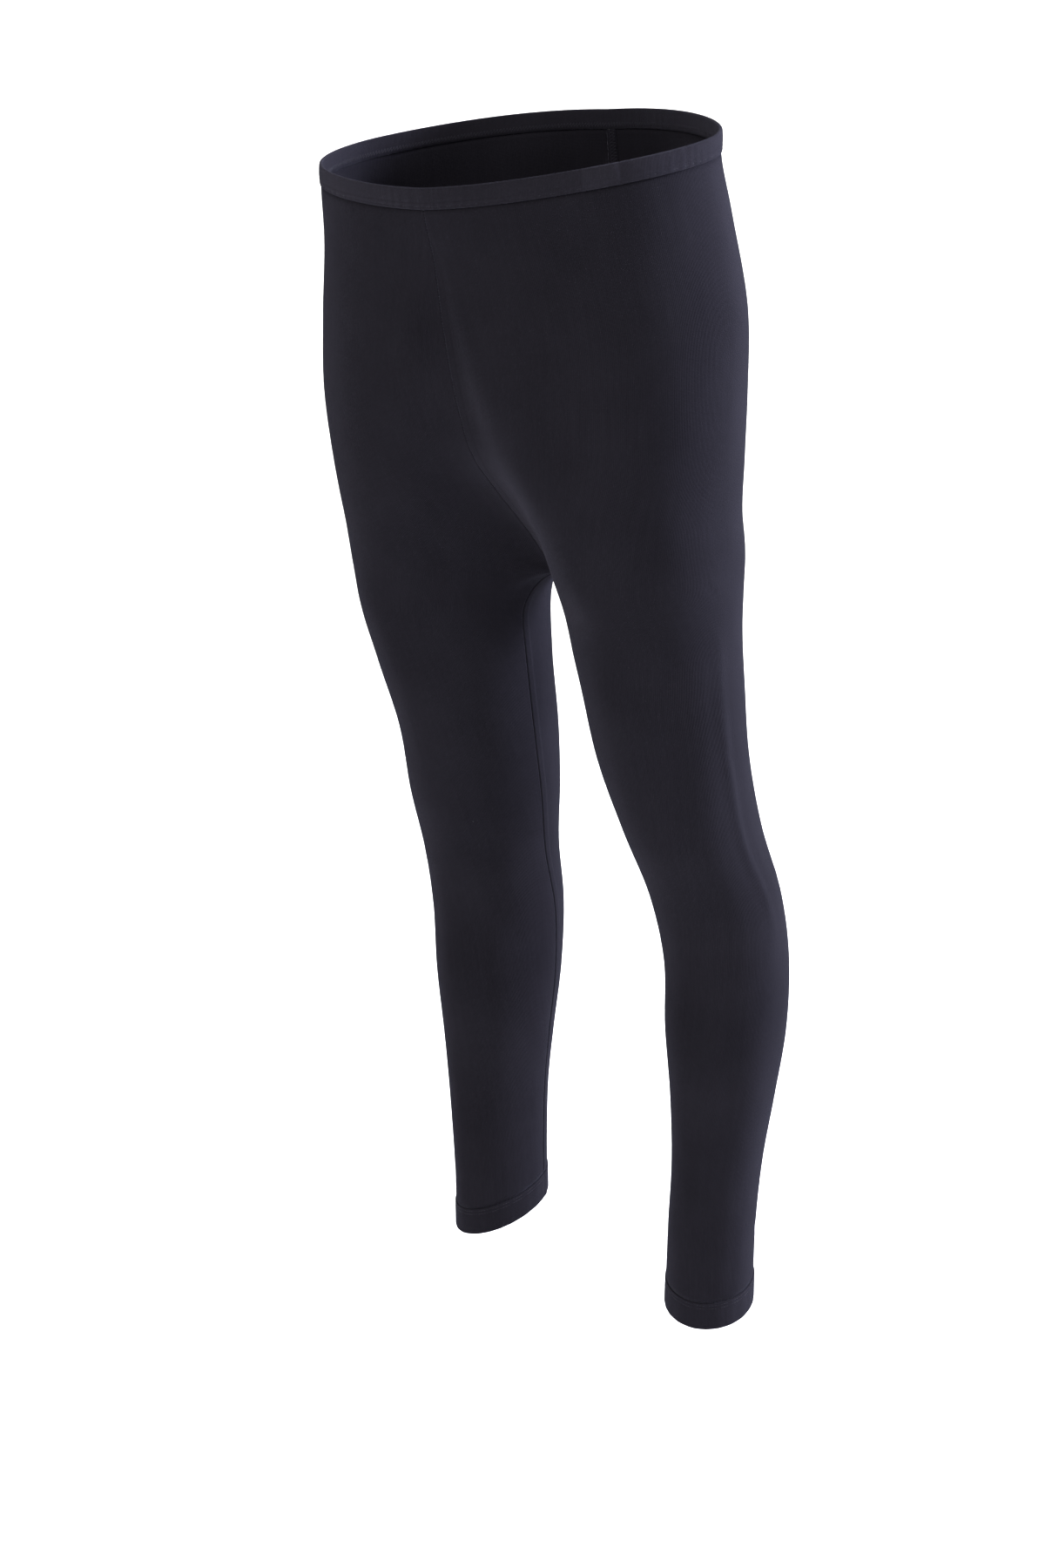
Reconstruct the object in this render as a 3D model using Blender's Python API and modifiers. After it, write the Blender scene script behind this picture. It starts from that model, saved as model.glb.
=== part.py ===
"""Leggings, hollow as worn: two leg panels, a turned waistband and two turned-up hems.

Metres, +Z up. The front faces -Y and the wearer's left is +X. The origin is the centre of the waist,
where the wearer holds the garment up. Each leg is one panel that wraps the outside of the leg: its front and
back edges meet those of the other leg along the rise seam at x = 0, and meet each other along the inseam.
"""

import math
from collections import namedtuple

import bmesh
import bpy
import numpy as np

MM = 0.001

# Driving dimensions, in metres.
CLOTH_WALL = 0.0012       # one layer of knitted microfibre
BAND_WALL = 0.0030        # two layers of cloth round the waist elastic
BAND_PROUD = 0.0009       # how far the waistband stands out from the panels
HEM_WALL = 0.0022         # cloth turned up on itself
HEM_PROUD = 0.0008        # how far a hem stands out from its panel
HEM_HEIGHT = 0.025
SEAM_GAP = 0.0003         # between any two edges that are sewn together
CROTCH_DROP = 0.042       # height over which the inner thighs part below the crotch
TOE_OUT = 22.0            # degrees that each leg's depth is turned outward

# How finely the cloth is faceted.
AROUND_LEG = 26           # faces round one leg, from its front edge to its back edge
BODY_ROWS = 15            # rows of faces from the waistband to the crotch
LEG_ROWS = 20             # rows of faces from the crotch to the hem
BAND_ROWS = 2             # rows of faces down the waistband
ROW_CROWDING = 1.6        # how much closer together the rows are towards the crotch
ARC_STEPS = 24            # points worked out along each quarter of a section

# Sections of the body from waist to crotch, for the left half, in millimetres. level is the height at the
# side; front_y, front_z and back_y, back_z are where the section meets the rise seam; fore, side and aft are
# its fullest points in front, at the side and behind; round_front and round_back are how gently, from 0 to 1,
# it bends where it crosses the seam; lead is how much of the side's fullness lies in front of it.
Body = namedtuple(
    "Body",
    "level front_y front_z back_y back_z fore_x fore_y side_x side_y aft_x aft_y"
    " round_front round_back lead",
)
BODY = [
    Body(5, -113, -27, 113, 30, 0, -113, 160, 0, 0, 113, 0.80, 0.80, 0.065),
    Body(-10, -111, -42, 114, 15, 2, -111, 160.5, 0, 2, 114, 0.80, 0.80, 0.070),
    Body(-50, -101, -74, 119, -25, 15, -102, 165, 8, 15, 122, 0.80, 0.80, 0.072),
    Body(-115, -90, -127, 128, -100, 35, -96, 173.5, 16, 32, 134, 0.80, 0.80, 0.060),
    Body(-175, -75, -180, 134, -168, 55, -87.5, 173.5, 16, 48, 139, 0.75, 0.80, 0.080),
    Body(-220, -56, -219, 134, -218, 75, -76, 170, 20, 64, 137, 0.65, 0.70, 0.092),
    Body(-259, -20, -254, 124, -264, 87, -66.5, 167, 25, 75.5, 130.5, 0.55, 0.60, 0.085),
    Body(-290, 13, -284, 105, -296, 95, -56.5, 168, 28.5, 81, 126.5, 0.34, 0.50, 0.042),
    Body(-313, 40, -311, 78, -315, 101.5, -49.5, 166.5, 28, 83.5, 124.5, 0.15, 0.26, 0.022),
    Body(-318, 47.5, -317.4, 67, -318.6, 102.9, -47.7, 166.4, 28, 83.9, 124.1, 0.085, 0.14, 0.017),
    Body(-320, 56, -320, 56, -320, 103.5, -47, 166.3, 28, 84, 124, 0.0, 0.0, 0.015),
]

# Sections of a leg from crotch to hem, in millimetres: its height, its centre, its half sizes, and how far
# its inseam lies in front of its innermost point.
Leg = namedtuple("Leg", "level x y half_width half_depth seam")
LEG = [
    Leg(-340, 97, 41, 65.5, 84, 14),
    Leg(-400, 97.5, 55, 62, 76.5, 11.5),
    Leg(-460, 97.3, 72, 59, 70.5, 11.5),
    Leg(-520, 104.6, 90, 54.5, 68.5, 7),
    Leg(-580, 115, 111.5, 53, 62, 1.5),
    Leg(-640, 118.5, 126, 51, 61.5, -5),
    Leg(-700, 119, 127, 50, 59, -9),
    Leg(-760, 118.5, 126, 43.5, 53, -9),
    Leg(-820, 116.5, 123.5, 38, 48, -9),
    Leg(-880, 114, 122, 37, 45, -9),
    Leg(-960, 113, 122.5, 37.5, 44.5, -9),
]

# Each hem: the height of its lower edge at the leg's centre, and how steeply it rises outward and backward.
Hem = namedtuple("Hem", "bottom rise_out rise_back")
HEMS = {
    "left": Hem(-0.955, -0.035, 0.128),
    "right": Hem(-0.936, -0.218, 0.297),
}
HEM_TILT_FROM = -0.720    # the rows start to lean towards the hem's slope from this height down
SIDES = {"left": 1, "right": -1}

QUARTER = 0.5523          # Bezier handle length of a quarter ellipse
LEG_ROUND = 0.72          # how gently a leg's section bends at its innermost point
CROTCH_ROUND = 0.95       # and how it starts to open at the crotch
Keys = namedtuple(
    "Keys",
    "front_x front_y front_z back_x back_y back_z fore_x fore_y side_x side_y aft_x aft_y"
    " round_front round_back lead seam",
)


def body_keys(row):
    """The key points of one body section, in metres. keys_at puts its edges on the rise seam."""
    inner_x = leg_keys(LEG[0])[0]
    return [inner_x, row.front_y * MM, row.front_z * MM, inner_x, row.back_y * MM, row.back_z * MM,
            row.fore_x * MM, row.fore_y * MM, row.side_x * MM, row.side_y * MM,
            row.aft_x * MM, row.aft_y * MM, row.round_front, row.round_back, row.lead, LEG[0].seam * MM]


def leg_keys(row):
    """The key points of one leg section: the extreme points of an ellipse turned outward by TOE_OUT."""
    turn = math.radians(TOE_OUT)
    across, deep = (row.half_width * MM) ** 2, (row.half_depth * MM) ** 2
    xx = across + (deep - across) * math.sin(turn) ** 2
    yy = across + (deep - across) * math.cos(turn) ** 2
    xy = -(deep - across) * math.sin(turn) * math.cos(turn)
    half_x, half_y = math.sqrt(xx), math.sqrt(yy)
    x, y, z = row.x * MM, row.y * MM, row.level * MM
    inner = [x - half_x, y - xy / half_x, z]
    return inner + inner + [x - xy / half_y, y - half_y, x + half_x, y + xy / half_x,
                            x + xy / half_y, y + half_y, LEG_ROUND, LEG_ROUND, 0.0, row.seam * MM]


LEVELS = np.array([row.level * MM for row in BODY + LEG])
KEY_ROWS = np.array([body_keys(row) for row in BODY] + [leg_keys(row) for row in LEG])
WAIST, BAND_LINE, CROTCH = BODY[0].level * MM, BODY[1].level * MM, BODY[-1].level * MM


def smooth_rows(level):
    """The key values at a height, on a smooth curve through the rows of the tables."""
    down = -LEVELS
    at = float(np.clip(-level, down[0], down[-1]))
    slopes = np.gradient(KEY_ROWS, down, axis=0)
    i = int(np.clip(np.searchsorted(down, at) - 1, 0, len(down) - 2))
    step = down[i + 1] - down[i]
    t = (at - down[i]) / step
    return (
        (2 * t**3 - 3 * t**2 + 1) * KEY_ROWS[i]
        + (t**3 - 2 * t**2 + t) * step * slopes[i]
        + (3 * t**2 - 2 * t**3) * KEY_ROWS[i + 1]
        + (t**3 - t**2) * step * slopes[i + 1]
    )


def keys_at(level):
    """The key points of the section at a height, with the inner thighs drawn together at the crotch."""
    keys = Keys(*smooth_rows(level))
    if level > CROTCH:
        return keys._replace(front_x=0.0, back_x=0.0, seam=0.0)
    parted = min((CROTCH - level) / CROTCH_DROP, 1.0)
    inner_x = keys.front_x * math.sqrt(1.0 - (1.0 - parted) ** 2)
    inner_y = 0.5 * (keys.front_y + keys.back_y)
    round_inner = math.sqrt(parted) * (CROTCH_ROUND + (LEG_ROUND - CROTCH_ROUND) * parted)
    return keys._replace(
        front_x=inner_x, back_x=inner_x, front_y=inner_y, back_y=inner_y, front_z=level, back_z=level,
        round_front=round_inner, round_back=round_inner, seam=keys.seam * parted * (2.0 - parted)
    )


def arc(start, start_handle, end_handle, end):
    """Points along a Bezier arc, without its last one."""
    t = np.linspace(0.0, 1.0, ARC_STEPS, endpoint=False)[:, None]
    start, start_handle, end_handle, end = map(np.array, (start, start_handle, end_handle, end))
    return (
        (1 - t) ** 3 * start + 3 * t * (1 - t) ** 2 * start_handle
        + 3 * t**2 * (1 - t) * end_handle + t**3 * end
    )


def outline(keys, across):
    """The plan of a section: from its front edge round the outside to its back edge.

    across says whether the section crosses its seam sideways, as on the body, or lengthways, as on a leg.
    """
    front, back = (keys.front_x, keys.front_y), (keys.back_x, keys.back_y)
    fore, side, aft = (keys.fore_x, keys.fore_y), (keys.side_x, keys.side_y), (keys.aft_x, keys.aft_y)
    fuller, flatter = QUARTER + keys.lead, QUARTER - keys.lead
    reach_front = QUARTER * keys.round_front * math.hypot(fore[0] - front[0], fore[1] - front[1])
    reach_back = QUARTER * keys.round_back * math.hypot(aft[0] - back[0], aft[1] - back[1])
    if across:
        leave_front = (front[0] + reach_front, front[1])
        reach_home = (back[0] + reach_back, back[1])
    else:
        leave_front = (front[0], front[1] - reach_front)
        reach_home = (back[0], back[1] + reach_back)
    pieces = [
        arc(front, leave_front, (fore[0] - QUARTER * (fore[0] - front[0]), fore[1]), fore),
        arc(fore, (fore[0] + fuller * (side[0] - fore[0]), fore[1]),
            (side[0], side[1] - fuller * (side[1] - fore[1])), side),
        arc(side, (side[0], side[1] + flatter * (aft[1] - side[1])),
            (aft[0] + flatter * (side[0] - aft[0]), aft[1]), aft),
        arc(aft, (aft[0] - QUARTER * (aft[0] - back[0]), aft[1]), reach_home, back),
        np.array([back]),
    ]
    return np.concatenate(pieces)


def section(level, count, trim=0.0, proud=0.0):
    """count + 1 points evenly spaced along the left half's section at a height.

    The section stops short of its seam by trim at both ends, and stands out by proud.
    """
    keys = keys_at(level)
    plan = outline(keys, level > CROTCH)
    run = np.concatenate([[0.0], np.cumsum(np.hypot(*np.diff(plan, axis=0).T))])
    at_side, whole = run[2 * ARC_STEPS], run[-1]
    even = np.linspace(trim, whole - trim, count + 1) + keys.seam
    if level <= CROTCH:
        even = even % whole
    x = np.interp(even, run, plan[:, 0])
    y = np.interp(even, run, plan[:, 1])
    # From -1 at the front edge through 0 at the side to 1 at the back edge: heights follow a slope and a dip.
    place = np.where(even < at_side, even / at_side - 1.0, (even - at_side) / (whole - at_side))
    slope = 0.5 * (keys.back_z - keys.front_z)
    dip = 0.5 * (keys.back_z + keys.front_z) - level
    z = level + slope * np.sin(0.5 * math.pi * place) + dip * (1.0 - np.cos(0.5 * math.pi * place))
    along = np.stack([np.gradient(x), np.gradient(y)], axis=1)
    along /= np.linalg.norm(along, axis=1, keepdims=True)
    x = np.maximum(x, trim)
    return np.stack([x + proud * along[:, 1], y - proud * along[:, 0], z], axis=1)


def leg_centre(level):
    """The middle of a leg at a height."""
    levels = np.array([row.level * MM for row in LEG])[::-1]
    x = np.interp(level, levels, [row.x * MM for row in LEG[::-1]])
    y = np.interp(level, levels, [row.y * MM for row in LEG[::-1]])
    return x, y


def leaned(points, level, hem):
    """Points of a leg's section with their heights leaning towards the slope of its hem."""
    share = np.clip((HEM_TILT_FROM - level) / (HEM_TILT_FROM - hem.bottom), 0.0, 1.0)
    share = share * share * (3.0 - 2.0 * share)
    x, y = leg_centre(level)
    points[:, 2] += share * (hem.rise_out * (points[:, 0] - x) + hem.rise_back * (points[:, 1] - y))
    return points


def panel_levels(hem):
    """The heights of a leg panel's rows, closer together near the crotch."""
    body = np.linspace(1.0, 0.0, BODY_ROWS + 1) ** ROW_CROWDING
    leg = np.linspace(0.0, 1.0, LEG_ROWS + 1)[1:] ** ROW_CROWDING
    top, bottom = BAND_LINE - SEAM_GAP / 2, hem.bottom + HEM_HEIGHT + SEAM_GAP / 2
    return np.concatenate([CROTCH + (top - CROTCH) * body, CROTCH + (bottom - CROTCH) * leg])


def cloth(name, colour, roughness):
    """A knitted cloth's material."""
    material = bpy.data.materials.new(name)
    material.use_nodes = True
    shader = material.node_tree.nodes["Principled BSDF"]
    shader.inputs["Base Color"].default_value = (*colour, 1.0)
    shader.inputs["Roughness"].default_value = roughness
    shader.inputs["Metallic"].default_value = 0.0
    return material


def walled(name, mesh, wall, material):
    """An object of an open surface, given its wall inward, in the garment's collection."""
    piece = bpy.data.objects.new(name, mesh)
    mesh.materials.append(material)
    mesh.shade_smooth()
    solid = piece.modifiers.new("Wall", "SOLIDIFY")
    solid.thickness = wall
    solid.offset = -1.0
    GARMENT.objects.link(piece)
    return piece


def add_panel(side, material):
    """One leg panel: a grid of cloth wrapped round the outside of the leg, open along both its edges."""
    hem = HEMS[side]
    levels = panel_levels(hem)
    # Where the section bends at its seam, the wall's inner corners reach a little past its outer edge.
    trim = SEAM_GAP / 2 + CLOTH_WALL * math.pi / AROUND_LEG
    rows = [leaned(section(level, AROUND_LEG, trim), level, hem) for level in levels]
    sheet = bmesh.new()
    bmesh.ops.create_grid(sheet, x_segments=AROUND_LEG, y_segments=len(levels) - 1, size=1.0)
    sheet.verts.ensure_lookup_table()
    for i, row in enumerate(rows):
        for j, point in enumerate(row):
            sheet.verts[i * (AROUND_LEG + 1) + j].co = point
    finish_sheet(sheet, side)
    return walled(f"leg_{side}", sheet_mesh(sheet, f"leg_{side}"), CLOTH_WALL, material)


def finish_sheet(sheet, side):
    """Mirror a left-hand sheet for the wearer's right. Its faces point outward on either side."""
    if side == "right":
        bmesh.ops.scale(sheet, vec=(SIDES[side], 1.0, 1.0), verts=sheet.verts)
    else:
        bmesh.ops.reverse_faces(sheet, faces=sheet.faces)


def sheet_mesh(sheet, name):
    """The sheet as a mesh of its own."""
    mesh = bpy.data.meshes.new(name)
    sheet.to_mesh(mesh)
    sheet.free()
    return mesh


def ring_sheet(loops):
    """An open ring of cloth through closed loops of points, from the top down."""
    sheet = bmesh.new()
    bmesh.ops.create_circle(sheet, segments=len(loops[0]), radius=1.0)
    for vertex, point in zip(sheet.verts, loops[0]):
        vertex.co = point
    rim = list(sheet.edges)
    for loop in loops[1:]:
        grown = bmesh.ops.extrude_edge_only(sheet, edges=rim)["geom"]
        for vertex, point in zip([v for v in grown if isinstance(v, bmesh.types.BMVert)], loop):
            vertex.co = point
        rim = [e for e in grown if isinstance(e, bmesh.types.BMEdge) and e.is_boundary]
    return sheet


def add_waistband(material):
    """The waistband: a closed ring on the panels' own section, standing a little proud of them."""
    loops = []
    for level in np.linspace(WAIST, BAND_LINE + SEAM_GAP / 2, BAND_ROWS + 1):
        half = section(level, AROUND_LEG, proud=BAND_PROUD)
        loops.append(np.concatenate([half, half[-2:0:-1] * (-1.0, 1.0, 1.0)]))
    sheet = ring_sheet(loops)
    return walled("waistband", sheet_mesh(sheet, "waistband"), BAND_WALL, material)


def add_hem(side, material):
    """One turned-up hem: a closed ring below its panel, on the slope at which it sits on the ankle."""
    hem = HEMS[side]
    loops = []
    for level in (hem.bottom + HEM_HEIGHT - SEAM_GAP / 2, hem.bottom):
        points = section(level, AROUND_LEG, proud=HEM_PROUD)[:-1]
        loops.append(leaned(points, level, hem))
    sheet = ring_sheet(loops)
    finish_sheet(sheet, side)
    return walled(f"hem_{side}", sheet_mesh(sheet, f"hem_{side}"), HEM_WALL, material)


for leftover in list(bpy.data.objects):
    bpy.data.objects.remove(leftover)

GARMENT = bpy.data.collections.new("leggings")
bpy.context.scene.collection.children.link(GARMENT)

navy_jersey = cloth("navy microfibre jersey", (0.018, 0.017, 0.023), 0.7)
navy_band = cloth("navy waistband jersey", (0.017, 0.016, 0.022), 0.72)
navy_hem = cloth("navy hem jersey", (0.017, 0.016, 0.021), 0.72)

for name in SIDES:
    add_panel(name, navy_jersey)
    add_hem(name, navy_hem)
add_waistband(navy_band)
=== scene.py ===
"""Leggings, hollow as worn: two leg panels of navy microfibre jersey, a casing over the waist elastic, two
turned-up hems, and the seams, overlocked allowances and coverstitching that hold them together.

Metres, +Z up. The front faces -Y and the wearer's left is +X. The origin is the centre of the waist. Every
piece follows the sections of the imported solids. The panels' cut edges roll into the seams, the allowances lie
flat under the cloth, and the creases are short soft troughs and ridges set out in a table.
"""

import math
from collections import namedtuple

import bmesh
import bpy
import numpy as np
from bpy.props import FloatProperty, FloatVectorProperty, PointerProperty
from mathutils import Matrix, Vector


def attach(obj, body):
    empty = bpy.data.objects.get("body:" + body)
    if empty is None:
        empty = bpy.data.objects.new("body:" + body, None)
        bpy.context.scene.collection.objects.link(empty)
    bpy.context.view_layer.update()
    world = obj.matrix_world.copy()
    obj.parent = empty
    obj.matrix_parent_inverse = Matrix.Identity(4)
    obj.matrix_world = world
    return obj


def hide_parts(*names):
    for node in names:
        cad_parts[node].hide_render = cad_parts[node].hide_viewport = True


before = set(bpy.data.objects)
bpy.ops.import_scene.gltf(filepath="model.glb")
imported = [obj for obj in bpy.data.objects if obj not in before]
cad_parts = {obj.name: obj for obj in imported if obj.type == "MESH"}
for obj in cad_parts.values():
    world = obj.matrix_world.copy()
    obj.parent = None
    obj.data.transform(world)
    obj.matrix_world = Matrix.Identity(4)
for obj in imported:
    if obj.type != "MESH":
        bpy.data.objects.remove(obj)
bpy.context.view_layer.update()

bl_info = {
    "name": "Leggings",
    "version": (1, 0, 0),
    "blender": (4, 5, 0),
    "location": "3D View > Sidebar > Leggings",
    "description": "Builds the cloth, seams and stitching of a pair of leggings round its packed solids",
    "category": "Add Mesh",
}

MM = 0.001

# --------------------------------------------------------------------------------------------------
# The garment's form: the same sections as its solids have.
# --------------------------------------------------------------------------------------------------

BAND_WALL = 0.0030        # two layers of cloth round the waist elastic
BAND_PROUD = 0.0009       # how far the waistband stands out from the panels
HEM_WALL = 0.0022         # cloth turned up on itself
HEM_PROUD = 0.0008        # how far a hem stands out from its panel
HEM_HEIGHT = 0.025
SEAM_GAP = 0.0003         # between any two edges that are sewn together
CROTCH_DROP = 0.042       # height over which the inner thighs part below the crotch
TOE_OUT = 22.0            # degrees that each leg's depth is turned outward

# Sections of the body from waist to crotch, for the left half, in millimetres. level is the height at the
# side; front_y, front_z and back_y, back_z are where the section meets the rise seam; fore, side and aft are
# its fullest points in front, at the side and behind; round_front and round_back are how gently, from 0 to 1,
# it bends where it crosses the seam; lead is how much of the side's fullness lies in front of it.
Body = namedtuple(
    "Body",
    "level front_y front_z back_y back_z fore_x fore_y side_x side_y aft_x aft_y"
    " round_front round_back lead",
)
BODY = [
    Body(5, -113, -27, 113, 30, 0, -113, 160, 0, 0, 113, 0.80, 0.80, 0.065),
    Body(-10, -111, -42, 114, 15, 2, -111, 160.5, 0, 2, 114, 0.80, 0.80, 0.070),
    Body(-50, -101, -74, 119, -25, 15, -102, 165, 8, 15, 122, 0.80, 0.80, 0.072),
    Body(-115, -90, -127, 128, -100, 35, -96, 173.5, 16, 32, 134, 0.80, 0.80, 0.060),
    Body(-175, -75, -180, 134, -168, 55, -87.5, 173.5, 16, 48, 139, 0.75, 0.80, 0.080),
    Body(-220, -56, -219, 134, -218, 75, -76, 170, 20, 64, 137, 0.65, 0.70, 0.092),
    Body(-259, -20, -254, 124, -264, 87, -66.5, 167, 25, 75.5, 130.5, 0.55, 0.60, 0.085),
    Body(-290, 13, -284, 105, -296, 95, -56.5, 168, 28.5, 81, 126.5, 0.34, 0.50, 0.042),
    Body(-313, 40, -311, 78, -315, 101.5, -49.5, 166.5, 28, 83.5, 124.5, 0.15, 0.26, 0.022),
    Body(-318, 47.5, -317.4, 67, -318.6, 102.9, -47.7, 166.4, 28, 83.9, 124.1, 0.085, 0.14, 0.017),
    Body(-320, 56, -320, 56, -320, 103.5, -47, 166.3, 28, 84, 124, 0.0, 0.0, 0.015),
]

# Sections of a leg from crotch to hem, in millimetres: its height, its centre, its half sizes, and how far
# its inseam lies in front of its innermost point.
Leg = namedtuple("Leg", "level x y half_width half_depth seam")
LEG = [
    Leg(-340, 97, 41, 65.5, 84, 14),
    Leg(-400, 97.5, 55, 62, 76.5, 11.5),
    Leg(-460, 97.3, 72, 59, 70.5, 11.5),
    Leg(-520, 104.6, 90, 54.5, 68.5, 7),
    Leg(-580, 115, 111.5, 53, 62, 1.5),
    Leg(-640, 118.5, 126, 51, 61.5, -5),
    Leg(-700, 119, 127, 50, 59, -9),
    Leg(-760, 118.5, 126, 43.5, 53, -9),
    Leg(-820, 116.5, 123.5, 38, 48, -9),
    Leg(-880, 114, 122, 37, 45, -9),
    Leg(-960, 113, 122.5, 37.5, 44.5, -9),
]

# Each hem: its lower edge's height at the leg's centre, and how steeply it rises outward and backward.
Hem = namedtuple("Hem", "bottom rise_out rise_back")
HEMS = {
    "left": Hem(-0.955, -0.035, 0.128),
    "right": Hem(-0.936, -0.218, 0.297),
}
HEM_TILT_FROM = -0.720    # from this height down, the sections lean towards the hem's slope
SIDES = {"left": 1, "right": -1}

QUARTER = 0.5523          # Bezier handle length of a quarter ellipse
LEG_ROUND = 0.72          # how gently a leg's section bends at its innermost point
CROTCH_ROUND = 0.95       # how gently it bends there where it starts to open, at the crotch
CROTCH_SOFT = 0.012       # how far up and down the sections are evened out near the crotch
SOFT_REACH = 0.030        # how far above and below the crotch all of that applies
SOFT_FROM_SEAM = (0.008, 0.035)  # it grows from none to all between these distances from a seam
ARC_STEPS = 96            # points worked out along each quarter of a section
Keys = namedtuple(
    "Keys",
    "front_x front_y front_z back_x back_y back_z fore_x fore_y side_x side_y aft_x aft_y"
    " round_front round_back lead seam",
)
Path = namedtuple("Path", "run points seam")


def body_keys(row):
    """The key points of one body section, in metres. keys_at puts its edges on the rise seam."""
    inner_x = leg_keys(LEG[0])[0]
    return [inner_x, row.front_y * MM, row.front_z * MM, inner_x, row.back_y * MM, row.back_z * MM,
            row.fore_x * MM, row.fore_y * MM, row.side_x * MM, row.side_y * MM,
            row.aft_x * MM, row.aft_y * MM, row.round_front, row.round_back, row.lead, LEG[0].seam * MM]


def leg_keys(row):
    """The key points of one leg section: the extreme points of an ellipse turned outward by TOE_OUT."""
    turn = math.radians(TOE_OUT)
    across, deep = (row.half_width * MM) ** 2, (row.half_depth * MM) ** 2
    xx = across + (deep - across) * math.sin(turn) ** 2
    yy = across + (deep - across) * math.cos(turn) ** 2
    xy = -(deep - across) * math.sin(turn) * math.cos(turn)
    half_x, half_y = math.sqrt(xx), math.sqrt(yy)
    x, y, z = row.x * MM, row.y * MM, row.level * MM
    inner = [x - half_x, y - xy / half_x, z]
    return inner + inner + [x - xy / half_y, y - half_y, x + half_x, y + xy / half_x,
                            x + xy / half_y, y + half_y, LEG_ROUND, LEG_ROUND, 0.0, row.seam * MM]


LEVELS = np.array([row.level * MM for row in BODY + LEG])
KEY_ROWS = np.array([body_keys(row) for row in BODY] + [leg_keys(row) for row in LEG])
WAIST, BAND_LINE, CROTCH = BODY[0].level * MM, BODY[1].level * MM, BODY[-1].level * MM


def smooth_rows(level):
    """The key values at a height, on a smooth curve through the rows of the tables."""
    down = -LEVELS
    at = float(np.clip(-level, down[0], down[-1]))
    slopes = np.gradient(KEY_ROWS, down, axis=0)
    i = int(np.clip(np.searchsorted(down, at) - 1, 0, len(down) - 2))
    step = down[i + 1] - down[i]
    t = (at - down[i]) / step
    return (
        (2 * t**3 - 3 * t**2 + 1) * KEY_ROWS[i]
        + (t**3 - 2 * t**2 + t) * step * slopes[i]
        + (3 * t**2 - 2 * t**3) * KEY_ROWS[i + 1]
        + (t**3 - t**2) * step * slopes[i + 1]
    )


def keys_at(level):
    """The key points of the section at a height, with the inner thighs drawn together at the crotch."""
    keys = Keys(*smooth_rows(level))
    if level > CROTCH:
        return keys._replace(front_x=0.0, back_x=0.0, seam=0.0)
    parted = min((CROTCH - level) / CROTCH_DROP, 1.0)
    inner_x = keys.front_x * math.sqrt(1.0 - (1.0 - parted) ** 2)
    inner_y = 0.5 * (keys.front_y + keys.back_y)
    round_inner = math.sqrt(parted) * (CROTCH_ROUND + (LEG_ROUND - CROTCH_ROUND) * parted)
    return keys._replace(
        front_x=inner_x, back_x=inner_x, front_y=inner_y, back_y=inner_y, front_z=level, back_z=level,
        round_front=round_inner, round_back=round_inner, seam=keys.seam * parted * (2.0 - parted)
    )


def arc(start, start_handle, end_handle, end):
    """Points along a Bezier arc, without its last one."""
    t = np.linspace(0.0, 1.0, ARC_STEPS, endpoint=False)[:, None]
    start, start_handle, end_handle, end = map(np.array, (start, start_handle, end_handle, end))
    return (
        (1 - t) ** 3 * start + 3 * t * (1 - t) ** 2 * start_handle
        + 3 * t**2 * (1 - t) * end_handle + t**3 * end
    )


def outline(keys, across):
    """The plan of a section: from its front edge round the outside to its back edge.

    across says whether the section crosses its seam sideways, as on the body, or lengthways, as on a leg.
    """
    front, back = (keys.front_x, keys.front_y), (keys.back_x, keys.back_y)
    fore, side, aft = (keys.fore_x, keys.fore_y), (keys.side_x, keys.side_y), (keys.aft_x, keys.aft_y)
    fuller, flatter = QUARTER + keys.lead, QUARTER - keys.lead
    reach_front = QUARTER * keys.round_front * math.hypot(fore[0] - front[0], fore[1] - front[1])
    reach_back = QUARTER * keys.round_back * math.hypot(aft[0] - back[0], aft[1] - back[1])
    if across:
        leave_front = (front[0] + reach_front, front[1])
        reach_home = (back[0] + reach_back, back[1])
    else:
        leave_front = (front[0], front[1] - reach_front)
        reach_home = (back[0], back[1] + reach_back)
    pieces = [
        arc(front, leave_front, (fore[0] - QUARTER * (fore[0] - front[0]), fore[1]), fore),
        arc(fore, (fore[0] + fuller * (side[0] - fore[0]), fore[1]),
            (side[0], side[1] - fuller * (side[1] - fore[1])), side),
        arc(side, (side[0], side[1] + flatter * (aft[1] - side[1])),
            (aft[0] + flatter * (side[0] - aft[0]), aft[1]), aft),
        arc(aft, (aft[0] - QUARTER * (aft[0] - back[0]), aft[1]), reach_home, back),
        np.array([back]),
    ]
    return np.concatenate(pieces)


def section_path(level):
    """The left half's section at a height: distances along it, its points, and its seam's shift."""
    keys = keys_at(level)
    plan = outline(keys, level > CROTCH)
    run = np.concatenate([[0.0], np.cumsum(np.hypot(*np.diff(plan, axis=0).T))])
    at_side, whole = run[2 * ARC_STEPS], run[-1]
    # place runs from -1 at the front edge through 0 at the side to 1 at the back edge.
    place = np.where(run < at_side, run / at_side - 1.0, (run - at_side) / (whole - at_side))
    slope = 0.5 * (keys.back_z - keys.front_z)
    dip = 0.5 * (keys.back_z + keys.front_z) - level
    z = level + slope * np.sin(0.5 * math.pi * place) + dip * (1.0 - np.cos(0.5 * math.pi * place))
    return Path(run, np.column_stack([plan, z]), keys.seam)


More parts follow.
